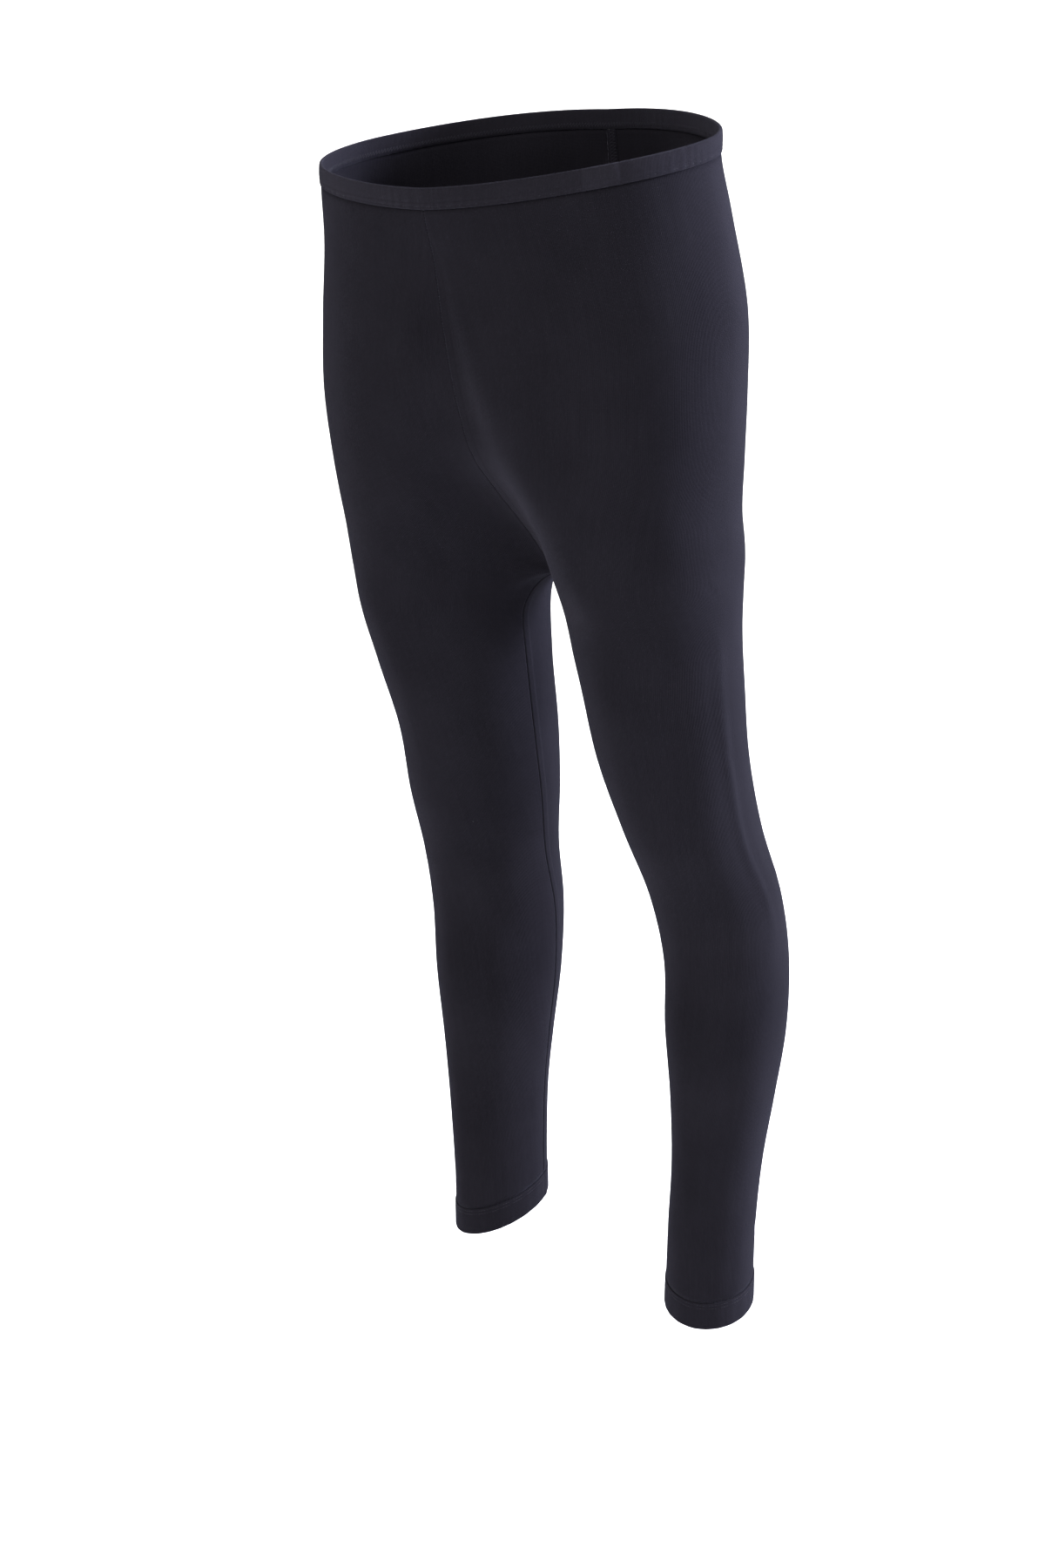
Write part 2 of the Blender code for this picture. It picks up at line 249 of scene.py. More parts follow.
def on_section(level, path, places):
    """Points on a section, at distances from its front edge. Past either edge they cross the seam."""
    whole = path.run[-1]
    if level > CROTCH:
        beyond = (places < 0.0) | (places > whole)
        along = np.where(places > whole, 2.0 * whole - places, np.abs(places))
    else:
        beyond = np.zeros(len(places), bool)
        along = (places + path.seam) % whole
    points = np.stack([np.interp(along, path.run, path.points[:, k]) for k in range(3)], axis=-1)
    points[beyond, 0] *= -1.0
    return points


def leg_centre(level):
    """The middle of a leg at a height."""
    levels = np.array([row.level * MM for row in LEG])[::-1]
    x = np.interp(level, levels, [row.x * MM for row in LEG[::-1]])
    y = np.interp(level, levels, [row.y * MM for row in LEG[::-1]])
    return x, y


def leaned(points, level, hem):
    """Points of a leg's section with their heights leaning towards the slope of its hem."""
    share = np.clip((HEM_TILT_FROM - level) / (HEM_TILT_FROM - hem.bottom), 0.0, 1.0)
    share = share * share * (3.0 - 2.0 * share)
    x, y = leg_centre(level)
    points[..., 2] += share * (hem.rise_out * (points[..., 0] - x) + hem.rise_back * (points[..., 1] - y))
    return points


def softened(points, levels, nearer):
    """A grid's points, evened out up and down the thighs near the crotch, away from the seams.

    nearer is how far each point lies from the nearer edge of its panel.
    """
    near_crotch = eased(2.0 * SOFT_REACH, SOFT_REACH, np.abs(levels - CROTCH))[:, None]
    at_crotch = np.abs(levels - CROTCH).argmin()
    none, full = SOFT_FROM_SEAM
    even = points.copy()
    for column, gap in enumerate(nearer[at_crotch]):
        if gap > none:
            reach = CROTCH_SOFT * min((gap - none) / (full - none), 1.0)
            kernel = np.exp(-(((levels[:, None] - levels) / reach) ** 2)) * np.abs(np.gradient(levels))
            mean = kernel @ points[:, column] / kernel.sum(axis=1, keepdims=True)
            even[:, column] += near_crotch * (mean - points[:, column])
    return even


def facing(points):
    """Outward unit normals of a left-hand grid of points, its rows running down and its columns back."""
    normals = np.cross(np.gradient(points, axis=0), np.gradient(points, axis=1))
    return normals / np.linalg.norm(normals, axis=-1, keepdims=True)


def eased(low, high, value):
    """0 below low, 1 above high, and a smooth step between."""
    share = np.clip((value - low) / (high - low), 0.0, 1.0)
    return share * share * (3.0 - 2.0 * share)


# --------------------------------------------------------------------------------------------------
# Sizes and colours that a user would change.
# --------------------------------------------------------------------------------------------------

SIZES = {
    "cloth_wall": (0.0008, "Cloth wall", "Thickness of one layer of the stretched jersey"),
    "seam_roll": (0.0005, "Seam roll", "How deep a panel's edge rolls into its seam"),
    "roll_width": (0.0012, "Roll width", "How wide a strip rolls into the seam"),
    "allowance": (0.0065, "Seam allowance", "Width of the overlocked allowance inside the seams"),
    "allowance_lift": (0.00035, "Allowance lift", "How far the allowance lifts the cloth over it"),
    "tuck_sink": (0.00030, "Tuck sink", "How far a panel sinks where the waistband or a hem holds it"),
    "undulation": (0.00010, "Undulation", "Height of the cloth's faint unevenness"),
    "crown": (0.0004, "Casing crown", "How far the elastic rounds the casing out"),
    "pucker": (0.00016, "Pucker", "Depth of the gathers along the casing's stitching"),
    "groove": (0.00028, "Stitch groove", "How deep a topstitched line sinks into the cloth"),
    "needle_gap": (0.0030, "Needle gap", "Distance between the two rows of a coverstitch"),
    "needle_inset": (0.0020, "Needle inset", "Distance from the edge to the first row of a coverstitch"),
    "stitch_pitch": (0.0026, "Stitch pitch", "Length of one coverstitch"),
    "ladder_pitch": (0.0021, "Ladder pitch", "Distance between the threads that show across a seam"),
    "thread": (0.00042, "Thread", "Width of a laid stitch"),
    "overlock_pitch": (0.0024, "Overlock pitch", "Distance between the overlocker's threads"),
    "wale_pitch": (0.0011, "Wale pitch", "Distance between the knit's upright ribs"),
}

COLOURS = {
    "jersey": ("#1b1a1f", "Jersey", "Navy microfibre, seen straight on"),
    "sheen": ("#9c9bb0", "Sheen", "Tint of the filaments seen at a low angle"),
    "thread": ("#201f26", "Thread", "Navy sewing thread"),
    "floor": ("#f2f1ef", "Floor", "Pale studio floor"),
}


def linear(code):
    """An sRGB hex colour as linear red, green, blue."""
    shares = [int(code[i:i + 2], 16) / 255.0 for i in (1, 3, 5)]
    return tuple(s / 12.92 if s <= 0.04045 else ((s + 0.055) / 1.055) ** 2.4 for s in shares)


class LEGGINGS_PG_sizes(bpy.types.PropertyGroup):
    """Sizes of the cloth, seams and stitching"""

    __annotations__ = {
        key: FloatProperty(name=label, description=text, default=value, unit="LENGTH", precision=5)
        for key, (value, label, text) in SIZES.items()
    }


class LEGGINGS_PG_colours(bpy.types.PropertyGroup):
    """Colours of the cloth, the thread and the floor"""

    __annotations__ = {
        key: FloatVectorProperty(
            name=label, description=text, default=linear(code), subtype="COLOR", size=3
        )
        for key, (code, label, text) in COLOURS.items()
    }


def sizes():
    """The sizes as the user has set them."""
    return bpy.context.scene.leggings_sizes


def colours():
    """The colours as the user has set them."""
    return bpy.context.scene.leggings_colours


# --------------------------------------------------------------------------------------------------
# Materials.
# --------------------------------------------------------------------------------------------------

WAVE_PERIOD = 0.31416     # a wave texture of scale 1 repeats after this many units
COURSE_SHARE = 0.8        # a course of loops is this much of a rib's pitch high
COURSE_WEIGHT = 0.3       # how much the courses show beside the ribs

# Patterns of the cloth, the thread and the floor, as how many fit in a metre.
STRIPES = (420.0, 14.0, 1.0)  # yarn thickness: stripes about two ribs wide and 70 mm long
TENSION_PATCHES = 11.0    # how hard the cloth was held as it was knitted, over 90 mm
SPECKS = 900.0            # single loops that lie unevenly, about a millimetre across
LINT = 16.0               # flecks of pale lint, about 60 mm apart
LINT_RADIUS = 0.006       # as a share of the distance between them: 0.4 mm
PLIES = 1800.0            # the thread's twist, a little over half a millimetre
ROLLER_MARKS = 3.0        # the floor's paint, thicker and thinner every 330 mm

# How much each pattern counts in the jersey's shade, and the shades at the ends of its range.
STRIPE_WEIGHT, SPECK_WEIGHT, KNIT_WEIGHT = 0.4, 0.5, 0.35
DARKEST_AT, DARKEST = 0.335, 0.72
PALEST_AT, PALEST = 0.795, 1.30
LINT_COLOUR = (0.10, 0.10, 0.11, 1.0)
SPECK_RELIEF = 0.8        # how much the specks stand out beside the ribs
GRAIN_HEIGHT = 0.0004     # how deep the knit's relief is
DARK_PLY, PALE_PLY = 0.7, 1.5  # the shades between a thread's plies and on them

OVERLAP_AT = 0.134        # from the front centre to the middle of the elastic's overlap, round the left
OVERLAP_HALF = 0.0125     # half of the overlap's width
OVERLAP_PAINTED_SHEEN = 0.008      # painted sheen: how far the cloth over it is turned towards the sheen's colour


def add_node(tree, kind, settings=None, links=None, **values):
    """A node of a kind, with its settings, its inputs' values and the links into its inputs.

    An input is named with underscores for its spaces, or by an underscore and its number.
    """
    node = tree.nodes.new(kind)
    for key, value in (settings or {}).items():
        setattr(node, key, value)
    for key, value in values.items():
        node.inputs[int(key[1:]) if key[0] == "_" else key.replace("_", " ")].default_value = value
    for key, socket in (links or {}).items():
        tree.links.new(socket, node.inputs[key])
    return node


def new_material(name):
    """A material with a Principled shader, as (material, its tree, the shader)."""
    material = bpy.data.materials.new(name)
    material.use_nodes = True
    return material, material.node_tree, material.node_tree.nodes["Principled BSDF"]


def jersey(name, rib, bump, pale, lap=False):
    """Circular-knitted nylon microfibre with elastane, stretched over the body: matt and very dark straight
    on, with a bluish sheen at a low angle where its filaments catch the light, and fine upright ribs.

    The real ribs are about 0.5 mm apart. They are drawn about twice as far apart, so that they show. rib is
    how wide they are beside a leg's, and bump is how strong their relief is. pale is how much paler than a
    leg's the cloth is drawn. lap adds a slightly paler patch of painted sheen, turned towards the sheen's
    colour, over the elastic's overlapped ends.
    """
    material, tree, shader = new_material(name)
    pitch = sizes().wale_pitch * rib
    cut = add_node(tree, "ShaderNodeUVMap", {"uv_map": "Cut"}).outputs["UV"]
    wales = add_node(
        tree, "ShaderNodeTexWave", {"wave_type": "BANDS", "bands_direction": "X"}, {"Vector": cut},
        Scale=WAVE_PERIOD / pitch, Distortion=0.6, Detail=2.0, Detail_Scale=1.5,
    )
    courses = add_node(
        tree, "ShaderNodeTexWave", {"wave_type": "BANDS", "bands_direction": "Y"}, {"Vector": cut},
        Scale=WAVE_PERIOD / (pitch * COURSE_SHARE), Distortion=1.2, Detail=1.0,
    )
    knit = add_node(tree, "ShaderNodeMix", {"data_type": "FLOAT"},
                    {2: wales.outputs["Fac"], 3: courses.outputs["Fac"]}, _0=COURSE_WEIGHT)
    stripe = add_node(tree, "ShaderNodeMapping", None, {"Vector": cut}, Scale=STRIPES)
    yarn = add_node(tree, "ShaderNodeTexNoise", None, {"Vector": stripe.outputs["Vector"]},
                    Scale=1.0, Detail=3.0)
    tension = add_node(tree, "ShaderNodeTexNoise", None, {"Vector": cut}, Scale=TENSION_PATCHES, Detail=2.0)
    speck = add_node(tree, "ShaderNodeTexNoise", None, {"Vector": cut}, Scale=SPECKS, Detail=2.0)
    shade = tension.outputs["Fac"]
    for pattern, weight in (
        (yarn.outputs["Fac"], STRIPE_WEIGHT),
        (speck.outputs["Fac"], SPECK_WEIGHT),
        (knit.outputs[0], KNIT_WEIGHT),
    ):
        shade = add_node(tree, "ShaderNodeMath", {"operation": "MULTIPLY_ADD"},
                         {0: pattern, 2: shade}, _1=weight).outputs[0]
    halved = add_node(tree, "ShaderNodeMath", {"operation": "MULTIPLY"}, {0: shade}, _1=0.5)
    base = np.array(colours().jersey) * pale
    ramp = add_node(tree, "ShaderNodeValToRGB", None, {"Fac": halved.outputs[0]})
    for end, position, share in zip(ramp.color_ramp.elements, (DARKEST_AT, PALEST_AT), (DARKEST, PALEST)):
        end.position = position
        end.color = (*(base * share), 1.0)
    lint = add_node(tree, "ShaderNodeTexVoronoi", None, {"Vector": cut}, Scale=LINT)
    fleck = add_node(tree, "ShaderNodeMath", {"operation": "LESS_THAN"}, {0: lint.outputs["Distance"]},
                     _1=LINT_RADIUS)
    tinted = add_node(tree, "ShaderNodeMix", {"data_type": "RGBA"},
                      {0: fleck.outputs[0], 6: ramp.outputs["Color"]}, _7=LINT_COLOUR)
    # Painted sheen: the cloth over the elastic's overlapped ends is turned a little towards the sheen's colour.
    if lap:
        place = add_node(tree, "ShaderNodeSeparateXYZ", None, {"Vector": cut})
        over = add_node(tree, "ShaderNodeMath", {"operation": "COMPARE"}, {0: place.outputs["X"]},
                        _1=OVERLAP_AT, _2=OVERLAP_HALF)
        faint = add_node(tree, "ShaderNodeMath", {"operation": "MULTIPLY"}, {0: over.outputs[0]},
                         _1=OVERLAP_PAINTED_SHEEN)
        tinted = add_node(tree, "ShaderNodeMix", {"data_type": "RGBA"},
                          {0: faint.outputs[0], 6: tinted.outputs[2]}, _7=(*colours().sheen, 1.0))
    grain = add_node(tree, "ShaderNodeMath", {"operation": "MULTIPLY_ADD"},
                     {0: speck.outputs["Fac"], 2: knit.outputs[0]}, _1=SPECK_RELIEF)
    bumped = add_node(tree, "ShaderNodeBump", None, {"Height": grain.outputs[0]},
                      Strength=bump, Distance=GRAIN_HEIGHT)
    tree.links.new(tinted.outputs[2], shader.inputs["Base Color"])
    tree.links.new(bumped.outputs["Normal"], shader.inputs["Normal"])
    shader.inputs["Roughness"].default_value = 0.62
    shader.inputs["Specular IOR Level"].default_value = 0.0
    shader.inputs["Sheen Weight"].default_value = 0.16
    shader.inputs["Sheen Roughness"].default_value = 0.30
    shader.inputs["Sheen Tint"].default_value = (*colours().sheen, 1.0)
    return material


def thread(name, roughness, pale):
    """Core-spun polyester thread, twisted, so that it glints a little more than the jersey that it sews.

    pale is how much paler than its own colour it is drawn. Across a seam that is partly the thread's own tone
    and partly a painted highlight along the seam's line.
    """
    material, tree, shader = new_material(name)
    place = add_node(tree, "ShaderNodeTexCoord")
    plies = add_node(tree, "ShaderNodeTexNoise", None, {"Vector": place.outputs["Object"]},
                     Scale=PLIES, Detail=1.0)
    base = np.array(colours().thread) * pale
    ramp = add_node(tree, "ShaderNodeValToRGB", None, {"Fac": plies.outputs["Fac"]})
    ramp.color_ramp.elements[0].color = (*(base * DARK_PLY), 1.0)
    ramp.color_ramp.elements[1].color = (*(base * PALE_PLY), 1.0)
    tree.links.new(ramp.outputs["Color"], shader.inputs["Base Color"])
    shader.inputs["Roughness"].default_value = roughness
    shader.inputs["Specular IOR Level"].default_value = 0.1
    shader.inputs["Sheen Weight"].default_value = 0.1
    shader.inputs["Sheen Tint"].default_value = (*colours().sheen, 1.0)
    return material


def painted_floor():
    """Smooth matt paint on a studio cove: nearly white, with no gloss to mirror the garment."""
    material, tree, shader = new_material("matt studio paint")
    place = add_node(tree, "ShaderNodeTexCoord")
    marks = add_node(tree, "ShaderNodeTexNoise", None, {"Vector": place.outputs["Object"]},
                     Scale=ROLLER_MARKS)
    base = np.array(colours().floor)
    ramp = add_node(tree, "ShaderNodeValToRGB", None, {"Fac": marks.outputs["Fac"]})
    ramp.color_ramp.elements[0].color = (*(base * 0.985), 1.0)
    ramp.color_ramp.elements[1].color = (*base, 1.0)
    tree.links.new(ramp.outputs["Color"], shader.inputs["Base Color"])
    shader.inputs["Roughness"].default_value = 0.9
    return material


# Each part's material: its name, how it is made, and how it differs from the others that are made that way.
MATERIALS = {
    "panel": ("knitted navy microfibre", jersey, {"rib": 1.0, "bump": 0.7, "pale": 1.0}),
    "casing": ("knitted navy microfibre over elastic", jersey,
               {"rib": 0.8, "bump": 0.9, "pale": 1.35, "lap": True}),
    "hem": ("knitted navy microfibre, turned up", jersey, {"rib": 0.9, "bump": 0.8, "pale": 1.05}),
    # Drawn paler: partly the thread's own tone, partly a painted highlight along the seam's line.
    "ladder": ("core-spun navy thread, stretched across a seam", thread, {"roughness": 0.5, "pale": 1.9}),
    "coverstitch": ("core-spun navy needle thread", thread, {"roughness": 0.5, "pale": 1.0}),
    "overlock": ("textured navy overlock thread", thread, {"roughness": 0.8, "pale": 1.0}),
}


def material_of(part):
    """The material of a part of the garment, made the first time that a piece asks for it."""
    name, make, settings = MATERIALS[part]
    return bpy.data.materials.get(name) or make(name, **settings)


# --------------------------------------------------------------------------------------------------
# Making meshes.
# --------------------------------------------------------------------------------------------------


def finished(name, mesh, material, wall=0.0):
    """A piece of the garment: its mesh in place, its wall inward, and riding on the garment's one body."""
    piece = bpy.data.objects.new(name, mesh)
    mesh.materials.append(material)
    mesh.shade_smooth()
    bpy.context.scene.collection.objects.link(piece)
    if wall:
        solid = piece.modifiers.new("Wall", "SOLIDIFY")
        solid.thickness = wall
        solid.offset = -1.0
    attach(piece, "root")
    return piece


def mesh_of(sheet, name):
    """A bmesh as a mesh of its own."""
    mesh = bpy.data.meshes.new(name)
    sheet.to_mesh(mesh)
    sheet.free()
    return mesh


def set_cut(sheet, cut, around=None):
    """Write each point's place on the cut cloth, in metres, as a UV map.

    around is a ring's whole length, so that the last face of a ring doesn't run back across the pattern.
    """
    layer = sheet.loops.layers.uv.new("Cut")
    sheet.verts.index_update()
    for face in sheet.faces:
        places = [tuple(cut[loop.vert.index]) for loop in face.loops]
        far = max(u for u, _ in places)
        for loop, (u, v) in zip(face.loops, places):
            if around and far - u > 0.5 * around:
                u += around
            loop[layer].uv = (u, v)


def handed(sheet, side):
    """Mirror a left-hand sheet for the wearer's right. Its faces point outward on either side."""
    if side == "right":
        bmesh.ops.scale(sheet, vec=(SIDES[side], 1.0, 1.0), verts=sheet.verts)
    else:
        bmesh.ops.reverse_faces(sheet, faces=sheet.faces)


def grid_sheet(points, cut):
    """An open sheet through a grid of points, with its cut places."""
    rows, columns = points.shape[:2]
    sheet = bmesh.new()
    bmesh.ops.create_grid(sheet, x_segments=columns - 1, y_segments=rows - 1, size=1.0)
    for vertex, point in zip(sheet.verts, points.reshape(-1, 3)):
        vertex.co = point
    set_cut(sheet, cut.reshape(-1, 2))
    return sheet


def tube_sheet(loops, cut, around):
    """A turned edge of cloth through rings of points: along its outside, round, and back up its inside."""
    sheet = bmesh.new()
    bmesh.ops.create_circle(sheet, segments=len(loops[0]), radius=1.0)
    for vertex, point in zip(sheet.verts, loops[0]):
        vertex.co = point
    rim = list(sheet.edges)
    for loop in [*loops[1:], loops[0]]:
        grown = bmesh.ops.extrude_edge_only(sheet, edges=rim)["geom"]
        for vertex, point in zip([v for v in grown if isinstance(v, bmesh.types.BMVert)], loop):
            vertex.co = point
        rim = [e for e in grown if isinstance(e, bmesh.types.BMEdge) and e.is_boundary]
    set_cut(sheet, np.concatenate([cut.reshape(-1, 2), cut[-1] + cut[1] - cut[0]]), around)
    bmesh.ops.remove_doubles(sheet, verts=sheet.verts, dist=1e-6)
    bmesh.ops.recalc_face_normals(sheet, faces=sheet.faces)
    return sheet


Bar = namedtuple("Bar", "start end normal")


def laid_bars(name, bars, width, height, material):
    """Short threads as one joined mesh: a small spindle along each bar, lying on the cloth."""
    unit = bmesh.new()
    bmesh.ops.create_uvsphere(unit, u_segments=6, v_segments=4, radius=0.5)
    template = mesh_of(unit, f"{name} template")
    shape = np.empty(len(template.vertices) * 3)
    template.vertices.foreach_get("co", shape)
    shape = shape.reshape(-1, 3)
    joined = bmesh.new()
    for bar in bars:
        start, end, normal = map(np.asarray, bar)
        along = end - start
        length = np.linalg.norm(along)
        along = along / length
        across = np.cross(normal, along)
        across /= np.linalg.norm(across)
        up = np.cross(along, across)
        axes = np.stack([across * width, up * height, along * length])
        template.vertices.foreach_set("co", (shape @ axes + 0.5 * (start + end)).ravel())
        joined.from_mesh(template)
    bmesh.ops.recalc_face_normals(joined, faces=joined.faces)
    bpy.data.meshes.remove(template)
    return finished(name, mesh_of(joined, name), material)


def evenly(points, normals, pitch):
    """Points a pitch apart along a line of points, and the normals there."""
    run = np.concatenate([[0.0], np.cumsum(np.linalg.norm(np.diff(points, axis=0), axis=1))])
    at = np.linspace(0.0, run[-1], max(int(run[-1] / pitch), 2) + 1)
    spread = [np.stack([np.interp(at, run, a[:, k]) for k in range(3)], axis=1) for a in (points, normals)]
    return spread[0], spread[1] / np.linalg.norm(spread[1], axis=1, keepdims=True)


def running_bars(points, normals, pitch, filled=0.8):
    """A row of running stitches along a line of points, each filling most of its pitch."""
    at, up = evenly(points, normals, pitch)
    return [Bar(a, a + (b - a) * filled, n) for a, b, n in zip(at[:-1], at[1:], up[:-1])]


def zigzag_bars(first, second, normals, pitch):
    """Looper threads that cross between two rows of needle stitches."""
    a, up = evenly(first, normals, pitch)
    b, _ = evenly(second, normals, pitch)
    count = min(len(a), len(b)) - 1
    out = [Bar(a[i], b[i], up[i]) for i in range(count)]
    return out + [Bar(b[i], a[i + 1], up[i]) for i in range(count)]


# --------------------------------------------------------------------------------------------------
# The leg panels.
# --------------------------------------------------------------------------------------------------

BODY_ROWS = 105           # rows of faces from the waistband to the crotch
LEG_ROWS = 205            # rows of faces from the crotch to the hem
ROW_CROWDING = 1.6        # above 1, the rows lie closer together towards the crotch
MIDDLE_COLUMNS = 104      # columns of faces between the two edge strips
EDGE_STEPS = np.array([0.0, 0.3, 0.7, 1.2, 1.8, 2.6, 3.6, 4.8, 5.7, 6.3, 7.0, 8.2]) * MM
CUT_SOFT = 0.020          # how far up and down the cut's width is evened out
TUCK = 0.0010             # how far a panel's ends reach into the waistband and the hem that hold them
TUCK_FADE = 0.0040        # how far from those ends the panel is drawn in

LIFT_OVER = 0.0010        # how far past the allowance's raw edge its lift has faded away
LIFT_UNDER = 0.0008       # how far short of that edge it starts to fade
RISE_LIFT = 0.4           # the share of that lift on the body, where the cloth is stretched less
CROTCH_FADE = 0.010       # above and below the crotch, where the one lift gives way to the other

# The faint unevenness: a broad and a fine ripple, by their spacings in millimetres round the panel and down
# it. The broad one also wavers on its way down. The right panel's are shifted, so that the two panels differ.
PANEL_ACROSS = 440.0      # the panel's greatest width, to which the spacings belong
BROAD_ACROSS, BROAD_DOWN, WAVER, WAVER_DOWN = 13.0, 29.0, 0.6, 37.0
FINE_ACROSS, FINE_DOWN, FINE_SHARE = 7.3, 61.0, 0.7
SHIFTED = {"left": 0.0, "right": 2.1}
EVEN_BY_SEAM = 0.020      # the ripples grow from nothing at a seam to their full height here

# Creases and ridges, placed one by one. The levels are heights, and the places are shares of the way from the
# panel's front edge to its back edge. bow is how far the line bends away from straight, and height is
# negative for a trough. The last three are in millimetres.
Crease = namedtuple("Crease", "side from_level from_place to_level to_place bow half_width height")
CREASE_FADE = 0.8         # below 1, a crease keeps its height for longer before its ends fade
CREASES = [
    # Down the outside of each thigh and knee.
    Crease("left", -0.335, 0.466, -0.612, 0.512, -12, 5.5, 1.7),
    Crease("right", -0.410, 0.57, -0.605, 0.46, 5, 7.0, 1.1),
    # Small wrinkles beside those ridges.
    Crease("left", -0.302, 0.469, -0.319, 0.494, 1, 2.2, -0.50),
    Crease("left", -0.437, 0.450, -0.452, 0.472, 1, 2.0, -0.65),
    Crease("left", -0.450, 0.441, -0.459, 0.466, -1, 1.8, 0.40),
    Crease("right", -0.470, 0.50, -0.486, 0.575, 1, 2.4, -0.50),
    Crease("right", -0.497, 0.49, -0.505, 0.555, -1, 2.0, -0.30),
    # Behind the knees.
    Crease("left", -0.541, 0.66, -0.548, 0.875, 3, 5.0, -0.80),
    Crease("left", -0.562, 0.61, -0.557, 0.80, -2, 4.0, 0.55),
    Crease("left", -0.574, 0.70, -0.583, 0.90, 2, 4.5, -0.50),
    Crease("right", -0.536, 0.64, -0.546, 0.86, 2, 5.5, -0.90),
    Crease("right", -0.559, 0.68, -0.551, 0.89, -3, 3.6, -0.45),
    Crease("right", -0.571, 0.60, -0.580, 0.78, 2, 4.0, 0.50),
    # Under the seat.
    Crease("left", -0.276, 0.70, -0.309, 0.93, 6, 8.0, -1.1),
    Crease("left", -0.318, 0.80, -0.333, 0.95, 2, 5.0, -0.60),
    Crease("right", -0.282, 0.68, -0.305, 0.91, 7, 7.0, -1.0),
    Crease("right", -0.322, 0.83, -0.341, 0.96, 2, 4.5, -0.50),
    # Slack above the hems.
    Crease("left", -0.884, 0.56, -0.893, 0.83, 2, 5.0, -0.50),
    Crease("right", -0.868, 0.60, -0.876, 0.85, -2, 4.5, -0.55),
    Crease("right", -0.880, 0.30, -0.889, 0.46, 1, 4.0, -0.30),
]

Sheet = namedtuple("Sheet", "points normals across whole levels")


def panel_levels(hem):
    """The heights of a leg panel's rows, closer together near the crotch."""
    body = np.linspace(1.0, 0.0, BODY_ROWS + 1) ** ROW_CROWDING
    leg = np.linspace(0.0, 1.0, LEG_ROWS + 1)[1:] ** ROW_CROWDING
    top, bottom = BAND_LINE + TUCK, hem.bottom + HEM_HEIGHT - TUCK
    return np.concatenate([CROTCH + (top - CROTCH) * body, CROTCH + (bottom - CROTCH) * leg])


def panel_places(whole):
    """Distances of a panel's columns from its front edge, closer together along both edges."""
    edge = SEAM_GAP / 2 + EDGE_STEPS
    middle = np.linspace(edge[-1], whole - edge[-1], MIDDLE_COLUMNS + 1)
    return np.concatenate([edge[:-1], middle, whole - edge[-2::-1]])


def form_grid(levels, places_of, side):
    """The garment's form at a list of heights, with each row's places along it."""
    rows, across, wholes = [], [], []
    for level in levels:
        path = section_path(level)
        places = places_of(path.run[-1])
        rows.append(leaned(on_section(level, path, places), level, HEMS[side]))
        across.append(places)
        wholes.append(path.run[-1])
    across, wholes, levels = np.array(across), np.array(wholes)[:, None], np.array(levels)
    points = softened(np.array(rows), levels, np.minimum(across, wholes - across))
    return Sheet(points, facing(points), across, wholes, levels[:, None])


def crease_height(crease, sheet):
    """How far one crease lifts each point of a sheet."""
    middle = 0.5 * (crease.from_level + crease.to_level)
    width = float(np.interp(-middle, -sheet.levels[:, 0], sheet.whole[:, 0]))
    start = np.array([crease.from_place * width, crease.from_level])
    line = np.array([crease.to_place * width, crease.to_level]) - start
    length = np.hypot(*line)
    along, aside = line / length, np.array([-line[1], line[0]]) / length
    x = sheet.across / sheet.whole * width - start[0]
    y = sheet.levels - start[1]
    share = np.clip((x * along[0] + y * along[1]) / length, 0.0, 1.0)
    off = x * aside[0] + y * aside[1] - crease.bow * MM * np.sin(math.pi * share)
    fade = np.sin(math.pi * share) ** CREASE_FADE
    return crease.height * MM * fade * np.exp(-((off / (crease.half_width * MM)) ** 2))


def rolled(gap):
    """How far cloth sinks where it rolls into a seam, at distances from that seam."""
    return -sizes().seam_roll * (1.0 - np.clip(gap / sizes().roll_width, 0.0, 1.0)) ** 2


def lifted(gap):
    """How far the allowance below lifts the cloth, from 0 to 1, at distances from the seam."""
    edge = sizes().allowance
    return eased(0.0, sizes().roll_width, gap) * eased(edge + LIFT_OVER, edge - LIFT_UNDER, gap)


def unevenness(sheet, side):
    """The faint ripples of a panel, about 1 high."""
    x, y = sheet.across / sheet.whole * PANEL_ACROSS, sheet.levels / MM
    shift = SHIFTED[side]
    broad = np.sin(x / BROAD_ACROSS + WAVER * np.sin(y / WAVER_DOWN) + shift)
    fine = np.sin(x / FINE_ACROSS - y / FINE_DOWN + 1.7 * shift)
    return broad * np.sin(y / BROAD_DOWN + 0.9 * shift) + FINE_SHARE * fine


def relief(sheet, side):
    """How far a panel's cloth stands out from the form: rolled edges, allowances, creases and ripples."""
    size = sizes()
    front, back = sheet.across, sheet.whole - sheet.across
    nearer = np.minimum(front, back)
    below = eased(CROTCH + CROTCH_FADE, CROTCH - CROTCH_FADE, sheet.levels)
    # Both seam allowances of the rise are folded to the left, and each inseam's is folded back.
    lift = lifted(back) * (below if side == "right" else below + (1.0 - below) * RISE_LIFT)
    if side == "left":
        lift = lift + lifted(front) * (1.0 - below) * RISE_LIFT
    out = rolled(nearer) + size.allowance_lift * lift
    for crease in CREASES:
        if crease.side == side:
            out = out + crease_height(crease, sheet)
    out = out + size.undulation * unevenness(sheet, side) * eased(0.0, EVEN_BY_SEAM, nearer)
    ends = np.minimum(BAND_LINE - sheet.levels, sheet.levels - (HEMS[side].bottom + HEM_HEIGHT))
    return out - size.tuck_sink * (1.0 - eased(-TUCK, TUCK_FADE, ends))


def raised(sheet, out):
    """The points of a sheet moved outward."""
    return sheet.points + sheet.normals * np.broadcast_to(out, sheet.across.shape)[..., None]


